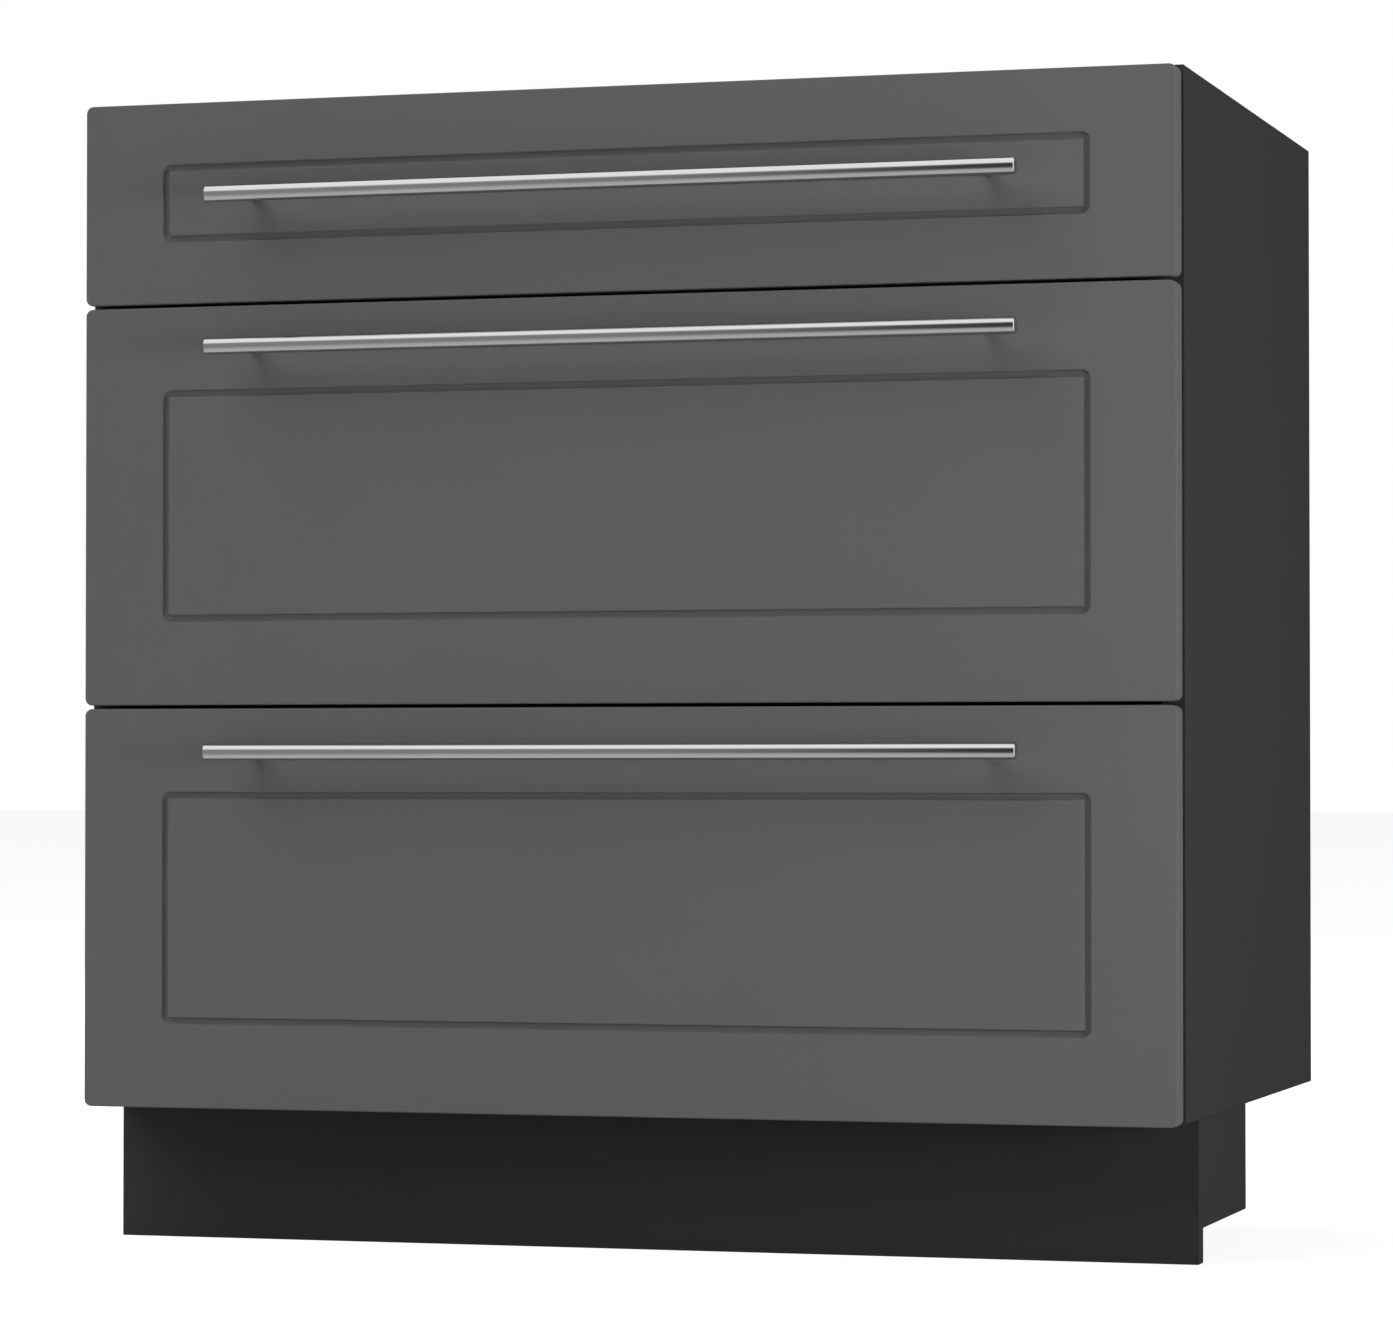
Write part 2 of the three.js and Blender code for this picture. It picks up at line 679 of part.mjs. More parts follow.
function handle(drawerName, axisZ) {
  const group = new THREE.Group();
  const bar = named(`${drawerName}_handle_bar`, handleBar(), brushedSteel);
  bar.rotation.z = Math.PI / 2;
  bar.position.set(0, barAxisY, axisZ);
  group.add(bar);
  const postGeometry = handlePost();
  for (const [side, x] of [['left', -postSpacing / 2], ['right', postSpacing / 2]]) {
    const post = named(`${drawerName}_handle_post_${side}`, postGeometry, brushedSteel);
    post.rotation.z = Math.PI;
    post.position.set(x, frontFaceY, axisZ);
    group.add(post);
  }
  return group;
}

// One drawer with its runners. The group stands at the lower edge of the front.
function drawer(name, lowerEdgeZ, height, endInset, handleDrop, backHeight, hasGallery) {
  const group = new THREE.Group();
  group.position.z = lowerEdgeZ;
  group.add(named(`${name}_drawer_front`, drawerFront(height, endInset), frontFoil));
  group.add(...pair((side) => `${name}_drawer_side_${side}`, drawerSide(), paintedSteel));
  group.add(named(`${name}_drawer_bottom`, drawerBottom(), drawerFoil));
  group.add(named(`${name}_drawer_back`, drawerBack(backHeight), drawerFoil));
  group.add(handle(name, height - handleDrop));

  const runners = new THREE.Group();
  runners.position.z = runnerRise;
  runners.add(...pair((side) => `${name}_runner_${side}_cabinet_member`, cabinetMember(), zincedSteel));
  runners.add(...pair((side) => `${name}_runner_${side}_middle_member`, middleMember(), zincedSteel));
  group.add(runners);

  if (hasGallery) {
    const railX = sideInnerX - (drawerSideOut + drawerSideIn) / 2;
    for (const [side, x] of [['left', -railX], ['right', railX]]) {
      const rail = named(`${name}_drawer_rail_${side}`, galleryRail(), paintedSteel);
      rail.position.set(x, frontRearY, sideRise + galleryRise);
      group.add(rail);
    }
  }
  return group;
}

function drawers() {
  const group = new THREE.Group();
  const bottomEdge = plinthHeight - bottomDrop;
  const middleEdge = bottomEdge + deepFrontHeight + frontJoint;
  const topEdge = middleEdge + deepFrontHeight + frontJoint;
  group.add(drawer('bottom', bottomEdge, deepFrontHeight, grooveInset, deepHandleDrop, deepBackHeight, true));
  group.add(drawer('middle', middleEdge, deepFrontHeight, grooveInset, deepHandleDrop, deepBackHeight, true));
  group.add(drawer('top', topEdge, topFrontHeight, topGrooveInset, topHandleDrop, topBackHeight, false));
  return group;
}

// ---- The cabinet ------------------------------------------------------------------------------------------------------------------------------
const cabinet = new THREE.Group();
cabinet.add(carcass(), plinth(), legs(), drawers());

export default cabinet;
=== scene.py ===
"""Finishes, fittings and studio of a kitchen base cabinet with three drawers.

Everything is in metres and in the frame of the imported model: X to the right, Y to the back, Z up
from the floor. Each operator dresses one group of pieces, and the panel lists them in order.
"""
import math

import bmesh
import bpy
from mathutils import Matrix, Vector


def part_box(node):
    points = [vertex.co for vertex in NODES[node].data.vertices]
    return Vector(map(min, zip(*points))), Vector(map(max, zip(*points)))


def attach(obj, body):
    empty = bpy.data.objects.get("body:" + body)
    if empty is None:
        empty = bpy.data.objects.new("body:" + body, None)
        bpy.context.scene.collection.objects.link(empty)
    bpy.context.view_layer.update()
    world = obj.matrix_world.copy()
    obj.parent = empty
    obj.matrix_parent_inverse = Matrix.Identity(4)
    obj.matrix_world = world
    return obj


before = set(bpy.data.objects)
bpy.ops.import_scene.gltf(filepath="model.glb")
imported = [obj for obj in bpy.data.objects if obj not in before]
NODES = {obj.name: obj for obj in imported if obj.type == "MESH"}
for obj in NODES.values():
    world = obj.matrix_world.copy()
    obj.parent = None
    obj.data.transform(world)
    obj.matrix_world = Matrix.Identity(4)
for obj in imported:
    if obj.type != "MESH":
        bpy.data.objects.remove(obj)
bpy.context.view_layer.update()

bl_info = {
    "name": "Base Cabinet Dresser",
    "version": (1, 0, 0),
    "blender": (4, 5, 0),
    "location": "3D View > Sidebar > Cabinet",
    "description": "Finishes, fittings and studio for a base cabinet with three drawers",
    "category": "Object",
}

MM = 0.001
SHARP = math.radians(40)  # edges that turn by more stay sharp
SIDES = {"left": -1, "right": 1}  # with the sign of X on each
DRAWERS = ("bottom", "middle", "top")


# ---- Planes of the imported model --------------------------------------
SIDE_LOW, SIDE_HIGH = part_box("side_panel_right")
RAIL_LOW, RAIL_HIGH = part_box("front_rail")
FLOOR_LOW, FLOOR_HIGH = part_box("bottom_panel")
FRONT_EDGE_Y = SIDE_LOW.y
REAR_EDGE_Y = SIDE_HIGH.y
INNER_X = SIDE_LOW.x
OUTER_X = SIDE_HIGH.x
RAIL_DEPTH = RAIL_HIGH.y - RAIL_LOW.y

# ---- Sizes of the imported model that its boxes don't show -------------
SIDE_BEND = 0.5 * MM  # between a drawer bottom and the inner face of a drawer side
LEG_PLATE = 4 * MM  # thickness of a leg's screw plate
LEG_SCREW_REACH = 23 * MM  # leg screws from the leg's axis, along X and along Y
CLIP_WALL = 2.5 * MM
RUNNER_SHEET = 1.25 * MM
RUNNER_HOLES = (35, 163, 291, 419)  # millimetres from the front end of a runner

# ---- Bores that the boards' finish shows as discs of painted shade ---
BORE_RADIUS = 2.5 * MM
BORE_RIM = 0.1 * MM  # the drawn rim fades over this much on either side
# Near-black painted shade that stands for the dark inside of each bore; the bores are not cut.
BORE_PAINTED_SHADE = (0.004, 0.004, 0.004)
BORE_PITCH = 32 * MM
FIRST_BORE = 8 * MM  # above the lower edge of a side panel
BORE_ROWS = (37 * MM, 421 * MM)  # behind the front edge of a side panel
RAIL_BORE_INSET = 60 * MM  # from the side panels, in the top rails

# ---- Places and sizes of the small pieces ----------------------------
PANEL_EDGE = 0.5 * MM  # broken edges of the side panels
BOARD_EDGE = 0.4 * MM  # broken edges of the other boards
BAND_EDGE = 0.15 * MM
CAM_INSET = 34 * MM  # cam fittings from the side panels
LEG_SCREW_RISE = 1.8 * MM
CLIP_SCREW_REACH = 14 * MM  # clip screws from the middle of the clip
BUFFER_INSET = 14 * MM  # from the upper and the lower edge of a front
WASHER_RISE = 0.9 * MM
HANDLE_SCREW_RISE = 2.4 * MM
BRACKET_BEND = 0.8 * MM
BRACKET_LIFT = 3 * MM  # above the drawer bottom
BRACKET_EDGE = 0.2 * MM
BRACKET_SCREW_RISE = 1.6 * MM
CAP_SIZE = (16 * MM, 54 * MM)
CAP_CORNER = 7.9 * MM
CAP_THICKNESS = 1.4 * MM
CAP_EDGE = 0.5 * MM
CAP_BEHIND_FRONT = 62 * MM
CAP_BELOW_TOP = 30 * MM
RUNNER_SCREW_RADIUS = 2.45 * MM
STOP_FACES = (1.4 * MM, 8.4 * MM)  # from the side panel
STOP_INSET = 5 * MM  # from the upper and the lower edge of a runner
STOP_PLAY = 0.3 * MM
STOP_EDGE = 0.6 * MM


def shade(red, green, blue):
    """A colour in the 0 to 255 of a picture, as the linear values that Blender uses."""
    def linear(level):
        share = level / 255
        return share / 12.92 if share <= 0.04045 else ((share + 0.055) / 1.055) ** 2.4
    return linear(red), linear(green), linear(blue)


# ---- Settings --------------------------------------------------------
def colour_setting(name, description, default):
    return bpy.props.FloatVectorProperty(
        name=name, description=description, default=default, size=3, min=0, max=1,
        subtype="COLOR")


def share_setting(name, description, default, highest=1.0):
    return bpy.props.FloatProperty(
        name=name, description=description, default=default, min=0, max=highest,
        subtype="FACTOR")


def length_setting(name, description, default):
    return bpy.props.FloatProperty(
        name=name, description=description, default=default, min=0, precision=4,
        subtype="DISTANCE", unit="LENGTH")


def angle_setting(name, description, default):
    return bpy.props.FloatProperty(
        name=name, description=description, default=default, subtype="ANGLE")


def power_setting(name, description, default):
    return bpy.props.FloatProperty(
        name=name, description=description, default=default, min=0, unit="POWER")


class CabinetFinishes(bpy.types.PropertyGroup):
    """Colours and sheen of the cabinet's surfaces"""

    front: colour_setting(
        "Fronts", "Matt foil of the drawer fronts", shade(95, 94, 92))
    carcass: colour_setting(
        "Carcass", "Melamine of the carcass boards", shade(52, 52, 52))
    plinth: colour_setting(
        "Plinth", "Foil of the plinth boards", shade(50, 50, 50))
    back_inner: colour_setting(
        "Back, inside", "Printed face of the thin back", shade(128, 128, 126))
    back_outer: colour_setting(
        "Back, outside", "Bare fibreboard of the thin back", shade(146, 118, 88))
    chipboard: colour_setting(
        "Chipboard", "Bare edges of the boards at the wall", shade(176, 146, 106))
    drawer_board: colour_setting(
        "Drawer boards", "Melamine of drawer bottoms and backs", shade(178, 179, 180))
    drawer_side: colour_setting(
        "Drawer sides", "Powder coat of the steel drawer sides", shade(140, 144, 147))
    runner: colour_setting(
        "Runners", "Zinc plate of the runners", shade(196, 199, 203))
    handle: colour_setting(
        "Handles", "Brushed steel of the bar handles", shade(205, 205, 203))
    plastic: colour_setting(
        "Plastic", "Moulded plastic of legs, clips and caps", shade(30, 30, 31))
    buffer: colour_setting(
        "Buffers", "Soft plastic of the closing buffers", shade(150, 150, 148))
    front_roughness: share_setting("Front roughness", "Roughness of the front foil", 0.62)
    handle_roughness: share_setting("Handle roughness", "Roughness of the brushed steel", 0.13)
    edge_wear: share_setting("Edge wear", "How much lighter rubbed edges are", 0.1)


class CabinetFittings(bpy.types.PropertyGroup):
    """Sizes of the small fittings"""

    screw_radius: length_setting("Screw head", "Radius of a pan head", 3.6 * MM)
    handle_screw_radius: length_setting(
        "Handle screw head", "Radius of a handle screw", 4.2 * MM)
    washer_radius: length_setting("Washer", "Radius of a handle screw's washer", 5.5 * MM)
    bracket_width: length_setting("Bracket width", "Width of a bracket's leaf", 20 * MM)
    bracket_height: length_setting("Bracket height", "Height of a drawer bracket", 52 * MM)
    bracket_sheet: length_setting("Bracket sheet", "Thickness of a bracket", 1.5 * MM)
    buffer_radius: length_setting("Buffer", "Radius of a closing buffer", 4 * MM)
    cam_radius: length_setting("Cam", "Radius of a cam fitting", 7.5 * MM)
    band: length_setting("Edge band", "Thickness of the front edge bands", 0.4 * MM)


class CabinetStudio(bpy.types.PropertyGroup):
    """Camera, lamps and floor"""

    camera_place: bpy.props.FloatVectorProperty(
        name="Camera", description="Place of the camera",
        default=(1.062091, -3.601670, 0.337009), size=3, subtype="TRANSLATION", unit="LENGTH")
    camera_tilt: angle_setting("Tilt", "Camera above the level", math.radians(1.243))
    camera_turn: angle_setting("Turn", "Camera turned to the left", math.radians(16.605))
    lens: bpy.props.FloatProperty(
        name="Lens", description="Focal length on a 36 mm sensor", default=130.71, min=1,
        unit="CAMERA")
    side_power: power_setting("Side lamp", "Power of the lamp at the right", 44)
    top_power: power_setting("Top lamp", "Power of the lamp at the upper left", 1110)
    rear_power: power_setting("Rear lamp", "Power of the lamp behind", 150)
    even_light: share_setting(
        "Even light", "Light from all sides on dull surfaces", 0.12, 2.0)
    floor: colour_setting("Floor", "Colour of the floor", (0.86, 0.86, 0.86))
    floor_glow: share_setting("Floor glow", "White that the camera sees in the floor", 0.9)


# ---- Node trees ------------------------------------------------------
class Nodes:
    """Empties one tree, and adds nodes to it and wires them."""

    def __init__(self, tree):
        self.tree = tree
        tree.nodes.clear()

    def node(self, kind, inputs=None, **settings):
        """A node of that kind. An input that is given a socket is linked to it."""
        made = self.tree.nodes.new(kind)
        for name, value in settings.items():
            setattr(made, name, value)
        for name, value in (inputs or {}).items():
            if isinstance(value, bpy.types.NodeSocket):
                self.tree.links.new(value, made.inputs[name])
            else:
                made.inputs[name].default_value = value
        return made

    def number(self, operation, *values):
        """One step of arithmetic on numbers and sockets."""
        inputs = dict(enumerate(values))
        return self.node("ShaderNodeMath", inputs, operation=operation).outputs[0]

    def between(self, value, low, high, start=0.0, end=1.0):
        """A soft step from start, where the value is low, to end, where it is high."""
        inputs = {"Value": value, "From Min": low, "From Max": high, "To Min": start, "To Max": end}
        made = self.node("ShaderNodeMapRange", inputs, interpolation_type="SMOOTHSTEP")
        return made.outputs["Result"]

    def part(self, vector, axis):
        return self.node("ShaderNodeSeparateXYZ", {"Vector": vector}).outputs[axis]

    def chosen(self, share, first, second):
        """The first shader where share is 0, the second where it is 1."""
        return self.node("ShaderNodeMixShader", {0: share, 1: first, 2: second}).outputs[0]

    def direct(self):
        """1 for the rays that see the white background, from the camera or through glass."""
        rays = self.node("ShaderNodeLightPath").outputs
        return self.number("MAXIMUM", rays["Is Camera Ray"], rays["Is Transmission Ray"])


class Finish(Nodes):
    """One material with its nodes, placed in the cabinet's own frame."""

    WORN_EDGE = (0.97, 0.75)  # rounded against true normal, as a cosine: first and full wear

    def __init__(self, name, colour, roughness, metallic=0.0, gloss=0.5):
        self.material = bpy.data.materials.new(name)
        self.material.use_nodes = True
        super().__init__(self.material.node_tree)
        self.colour = tuple(colour)
        self.roughness = roughness
        self.heights = []
        self.material.diffuse_color = (*self.colour, 1)
        self.shader = self.node("ShaderNodeBsdfPrincipled", {
            "Base Color": (*self.colour, 1), "Roughness": roughness, "Metallic": metallic,
            "Specular IOR Level": gloss})
        self.node("ShaderNodeOutputMaterial", {"Surface": self.shader.outputs[0]})
        coordinates = self.node("ShaderNodeTexCoord")
        self.place = coordinates.outputs["Object"]
        self.facing = coordinates.outputs["Normal"]

    def distance(self, aside, along):
        """How far a point is, from its offsets along two axes."""
        squares = (self.number("POWER", offset, 2.0) for offset in (aside, along))
        return self.number("SQRT", self.number("ADD", *squares))

    def stretched(self, stretch):
        inputs = {0: self.place, 1: tuple(1 / s for s in stretch)}
        return self.node("ShaderNodeVectorMath", inputs, operation="MULTIPLY").outputs["Vector"]

    def noise(self, size, stretch=(1, 1, 1), detail=2.0):
        """Noise with spots of about that size, from -0.5 to 0.5."""
        inputs = {"Vector": self.stretched(stretch), "Scale": 1 / size, "Detail": detail}
        return self.number("SUBTRACT", self.node("ShaderNodeTexNoise", inputs).outputs[0], 0.5)

    def chips(self, size, stretch=(1, 1, 1)):
        """A random level for each chip of about that size, from -0.5 to 0.5."""
        inputs = {"Vector": self.stretched(stretch), "Scale": 1 / size}
        cells = self.node("ShaderNodeTexVoronoi", inputs).outputs["Color"]
        return self.number("SUBTRACT", self.part(cells, "X"), 0.5)

    def mixed(self, share, first, second):
        """The first colour where share is 0, the second where it is 1."""
        first, second = (colour if isinstance(colour, bpy.types.NodeSocket) else (*colour, 1)
                         for colour in (first, second))
        inputs = {0: share, 6: first, 7: second}
        return self.node("ShaderNodeMix", inputs, data_type="RGBA").outputs[2]

    def varied(self, level, layers):
        """The level, raised and lowered by each layer's share of its noise."""
        for noise, share in layers:
            level = self.number("ADD", self.number("MULTIPLY", noise, 2 * share), level)
        return level

    def scaled(self, colour, level):
        inputs = {0: colour, "Scale": level}
        return self.node("ShaderNodeVectorMath", inputs, operation="SCALE").outputs["Vector"]

    def toned(self, colour, *layers):
        """The colour, lighter and darker by the layers."""
        return self.scaled(colour, self.varied(1.0, layers))

    def rubbed(self, colour, radius, share):
        """The colour, lightened in patches along edges by up to that share."""
        rounded = self.node("ShaderNodeBevel", {"Radius": radius}, samples=4).outputs["Normal"]
        straight = self.node("ShaderNodeNewGeometry").outputs["Normal"]
        alike = self.node(
            "ShaderNodeVectorMath", {0: rounded, 1: straight}, operation="DOT_PRODUCT")
        edge = self.between(alike.outputs["Value"], *self.WORN_EDGE)
        patchy = self.between(self.noise(9 * MM), -0.2, 0.15, 0.45, 1.0)
        worn = self.number("MULTIPLY", edge, patchy)
        return self.mixed(worn, colour, self.scaled(colour, 1 + share))

    def relief(self, noise, depth):
        """Adds noise of that depth, in metres, to the surface's relief."""
        self.heights.append(self.number("MULTIPLY", noise, depth))

    def rough(self, *layers):
        """The roughness, higher and lower by the layers."""
        self.tree.links.new(self.varied(self.roughness, layers), self.shader.inputs["Roughness"])

    def done(self, colour):
        """Wires the colour and the relief, and gives the material."""
        self.tree.links.new(colour, self.shader.inputs["Base Color"])
        height = self.heights[0]
        for extra in self.heights[1:]:
            height = self.number("ADD", height, extra)
        bump = self.node("ShaderNodeBump", {"Height": height, "Distance": 1.0, "Strength": 1.0})
        self.tree.links.new(bump.outputs["Normal"], self.shader.inputs["Normal"])
        return self.material


# ---- Materials -------------------------------------------------------
def front_foil(finishes):
    """Matt foil pressed over milled fibreboard: a fine grain and a faint orange peel."""
    finish = Finish("matt_front_foil", finishes.front, finishes.front_roughness, gloss=0.3)
    grain = finish.noise(0.5 * MM, detail=1.0)
    cloud = finish.noise(120 * MM)
    colour = finish.toned(finish.colour, (grain, 0.035), (cloud, 0.025))
    colour = finish.rubbed(colour, 2.4 * MM, finishes.edge_wear)
    finish.rough((grain, 0.04), (cloud, 0.05))
    finish.relief(grain, 0.004 * MM)
    finish.relief(finish.noise(14 * MM), 0.02 * MM)
    return finish.done(colour)


def board(finishes, name, colour, raw_edges=False, bores=None):
    """Melamine on chipboard, bare at the edges that meet the wall, with any bores painted in as
    near-black discs of painted shade.
    """
    finish = Finish(name, colour, 0.65, gloss=0.08)
    grain = finish.noise(0.7 * MM, detail=1.0)
    cloud = finish.noise(160 * MM)
    skin = finish.toned(finish.colour, (grain, 0.06), (cloud, 0.03))
    skin = finish.rubbed(skin, 0.8 * MM, finishes.edge_wear)
    finish.rough((grain, 0.05), (cloud, 0.04))
    finish.relief(grain, 0.008 * MM)
    if raw_edges:
        skin = bare_at_wall(finishes, finish, skin)
    if bores:
        # bores are not cut: each is painted as a near-black disc of painted shade
        skin = finish.mixed(bores(finish), skin, BORE_PAINTED_SHADE)
    return finish.done(skin)


def bare_at_wall(finishes, finish, skin):
    """The skin, with bare chipboard on the rear edges of the boards."""
    chips = finish.chips(1.6 * MM, (2.5, 1, 1))
    fibres = finish.noise(0.6 * MM, (4, 1, 1))
    wood = finish.toned(tuple(finishes.chipboard), (chips, 0.3), (fibres, 0.25))
    depth = finish.part(finish.place, "Y")
    at_wall = finish.between(depth, REAR_EDGE_Y - 0.4 * MM, REAR_EDGE_Y - 0.2 * MM)
    finish.relief(finish.number("MULTIPLY", fibres, at_wall), 0.15 * MM)
    return finish.mixed(at_wall, skin, wood)


def bore_shade_mask(finish, away):
    """1 inside a bore and 0 outside it, from the distance to its axis: the mask of the bore's
    painted shade.
    """
    return finish.between(away, BORE_RADIUS + BORE_RIM, BORE_RADIUS - BORE_RIM)


def bore_shade_rows(finish):
    """Painted shade of two rows of bores in the inner faces of the side panels, as a mask."""
    across = finish.number("ABSOLUTE", finish.part(finish.place, "X"))
    deep = finish.part(finish.place, "Y")
    up = finish.number("SUBTRACT", finish.part(finish.place, "Z"), SIDE_LOW.z + FIRST_BORE)
    along = finish.number("WRAP", up, BORE_PITCH / 2, -BORE_PITCH / 2)
    near = 1.0
    for row in BORE_ROWS:
        aside = finish.number("SUBTRACT", deep, FRONT_EDGE_Y + row)
        near = finish.number("MINIMUM", near, finish.distance(aside, along))
    inside = finish.between(across, INNER_X + 0.3 * MM, INNER_X + 0.2 * MM)
    return finish.number("MULTIPLY", bore_shade_mask(finish, near), inside)


def bore_shade_rail(finish):
    """Painted shade of the screw holes for the worktop, near the ends and in the middle of a top
    rail, as a mask.
    """
    across = finish.number("ABSOLUTE", finish.part(finish.place, "X"))
    deep = finish.part(finish.place, "Y")
    near = 1.0
    for x in (0.0, INNER_X - RAIL_BORE_INSET):
        for y in ((RAIL_LOW.y + RAIL_HIGH.y) / 2, REAR_EDGE_Y - RAIL_DEPTH / 2):
            aside = finish.number("SUBTRACT", across, x)
            along = finish.number("SUBTRACT", deep, y)
            near = finish.number("MINIMUM", near, finish.distance(aside, along))
    return bore_shade_mask(finish, near)


def thin_back(finishes):
    """Thin fibreboard, printed inside and bare outside."""
    finish = Finish("thin_back_board", finishes.back_inner, 0.6)
    fibres = finish.noise(1.1 * MM, (1, 1, 3))
    cloud = finish.noise(90 * MM)
    printed = finish.toned(finish.colour, (fibres, 0.03), (cloud, 0.02))
    bare = finish.toned(tuple(finishes.back_outer), (fibres, 0.16), (cloud, 0.12))
    outside = finish.between(finish.part(finish.facing, "Y"), 0.3, 0.6)
    finish.rough((fibres, 0.06), (cloud, 0.05))
    finish.relief(fibres, 0.02 * MM)
    return finish.done(finish.mixed(outside, printed, bare))


def powder_coat(finishes):
    """Powder coat with its orange peel and a little metal flake."""
    finish = Finish("powder_coated_steel", finishes.drawer_side, 0.42, 0.35)
    peel = finish.noise(1.4 * MM)
    flake = finish.noise(0.3 * MM, detail=0.0)
    cloud = finish.noise(80 * MM)
    colour = finish.toned(finish.colour, (flake, 0.08), (cloud, 0.02))
    colour = finish.rubbed(colour, 0.6 * MM, finishes.edge_wear)
    finish.rough((peel, 0.05), (flake, 0.05))
    finish.relief(peel, 0.02 * MM)
    return finish.done(colour)


def zinc_plate(finishes):
    """Zinc-plated sheet: cloudy, with rolling lines and slide marks along the runner."""
    finish = Finish("zinc_plated_steel", finishes.runner, 0.36, 1.0)
    cloud = finish.noise(11 * MM, (1, 2, 1))
    lines = finish.noise(0.5 * MM, (1, 90, 1))
    colour = finish.toned(finish.colour, (cloud, 0.1), (lines, 0.06))
    colour = finish.rubbed(colour, 0.5 * MM, finishes.edge_wear)
    finish.rough((cloud, 0.1), (lines, 0.08))
    finish.relief(lines, 0.004 * MM)
    return finish.done(colour)


def brushed_steel(finishes, name, stretch, roughness):
    """Brushed stainless steel, with fine lines along one direction."""
    finish = Finish(name, finishes.handle, roughness, 1.0)
    lines = finish.noise(0.25 * MM, stretch)
    cloud = finish.noise(40 * MM)
    colour = finish.toned(finish.colour, (lines, 0.04), (cloud, 0.015))
    finish.rough((lines, 0.05), (cloud, 0.03))
    finish.relief(lines, 0.0015 * MM)
    return finish.done(colour)


def moulded_plastic(finishes, name, colour, roughness=0.5):
    """Moulded plastic with a spark-eroded grain."""
    finish = Finish(name, colour, roughness)
    grain = finish.noise(0.45 * MM)
    flow = finish.noise(18 * MM)
    colour = finish.toned(finish.colour, (grain, 0.08), (flow, 0.05))
    colour = finish.rubbed(colour, 0.7 * MM, finishes.edge_wear)
    finish.rough((grain, 0.07), (flow, 0.05))
    finish.relief(grain, 0.012 * MM)
    return finish.done(colour)


LINES_ALONG_X = (120, 1, 1)
LINES_ALONG_Y = (1, 120, 1)
NO_LINES = (1, 1, 1)
MAKERS = {
    "front_foil": front_foil,
    "side_board": lambda f: board(f, "side_melamine", f.carcass, True, bore_shade_rows),
    "rail_board": lambda f: board(f, "rail_melamine", f.carcass, True, bore_shade_rail),
    "floor_board": lambda f: board(f, "floor_melamine", f.carcass, True),
    "edge_band": lambda f: board(f, "edge_band_melamine", f.carcass),
    "plinth_board": lambda f: board(f, "plinth_melamine", f.plinth),
    "drawer_board": lambda f: board(f, "drawer_melamine", f.drawer_board),
    "thin_back": thin_back,
    "powder_coat": powder_coat,
    "zinc_plate": zinc_plate,
    "bar_steel": lambda f: brushed_steel(
        f, "bar_brushed_steel", LINES_ALONG_X, f.handle_roughness),
    "post_steel": lambda f: brushed_steel(
        f, "post_brushed_steel", LINES_ALONG_Y, f.handle_roughness),
    "screw_steel": lambda f: brushed_steel(f, "screw_steel", NO_LINES, 0.3),
    "black_plastic": lambda f: moulded_plastic(f, "black_moulded_plastic", f.plastic),
    "buffer_plastic": lambda f: moulded_plastic(f, "soft_buffer_plastic", f.buffer, 0.35),
}
MADE = {}


def finish_of(context, kind):
    """The material of that kind, made when it is first needed."""
    if kind not in MADE:
        MADE[kind] = MAKERS[kind](context.scene.cabinet_finishes)
    return MADE[kind]


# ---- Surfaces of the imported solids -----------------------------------
def smooth_skin():
    """A node group that welds a solid's facets and smooths it, apart from its sharp edges."""
    made = bpy.data.node_groups.get("smooth_skin")
    if made:
        return made
    group = bpy.data.node_groups.new("smooth_skin", "GeometryNodeTree")
    group.is_modifier = True
    for direction in ("INPUT", "OUTPUT"):
        group.interface.new_socket(
            "Geometry", in_out=direction, socket_type="NodeSocketGeometry")
    nodes = Nodes(group)
    start = nodes.node("NodeGroupInput").outputs[0]
    bare = nodes.node("GeometryNodeRemoveAttribute", {0: start, "Name": "custom_normal"})
    welded = nodes.node(
        "GeometryNodeMergeByDistance", {0: bare.outputs[0], "Distance": 0.004 * MM})
    faces = nodes.node(
        "GeometryNodeSetShadeSmooth", {0: welded.outputs[0], "Shade Smooth": True},
        domain="FACE")
    angle = nodes.node("GeometryNodeInputMeshEdgeAngle").outputs["Unsigned Angle"]
    gentle = nodes.node("FunctionNodeCompare", {"A": angle, "B": SHARP}, operation="LESS_THAN")
    edges = nodes.node(
        "GeometryNodeSetShadeSmooth", {0: faces.outputs[0], "Shade Smooth": gentle.outputs[0]},
        domain="EDGE")
    nodes.node("NodeGroupOutput", {0: edges.outputs[0]})
    return group


def dress(node_name, material, bevel=0.0):
    """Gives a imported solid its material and, for a board, its slightly broken edges."""
    node = NODES[node_name]
    node.material_slots[0].material = material
    skin = node.modifiers.new("smooth_skin", "NODES")
    skin.node_group = smooth_skin()
    soften(node, bevel)


def soften(piece, bevel):
    """Breaks the sharp edges, if bevel is more than 0, and keeps the flat faces flat."""
    if bevel:
        broken = piece.modifiers.new("broken_edges", "BEVEL")
        broken.width = bevel
        broken.segments = 2
        broken.limit_method = "ANGLE"
        broken.angle_limit = SHARP
    shading = piece.modifiers.new("flat_faces", "WEIGHTED_NORMAL")
    shading.weight = 100
    shading.keep_sharp = True


# ---- Pieces built here -----------------------------------------------
def facing(direction, place):
    """A frame at that place whose Z axis points in that direction."""
    turned = Vector(direction).to_track_quat("Z", "Y").to_matrix().to_4x4()
    return Matrix.Translation(place) @ turned


def circle(radius, height, sides):
    """Points round the Z axis, or one point on it where the radius is 0."""
    count = sides if radius > 0 else 1
    angles = [2 * math.pi * i / sides for i in range(count)]
    return [(radius * math.cos(a), radius * math.sin(a), height) for a in angles]


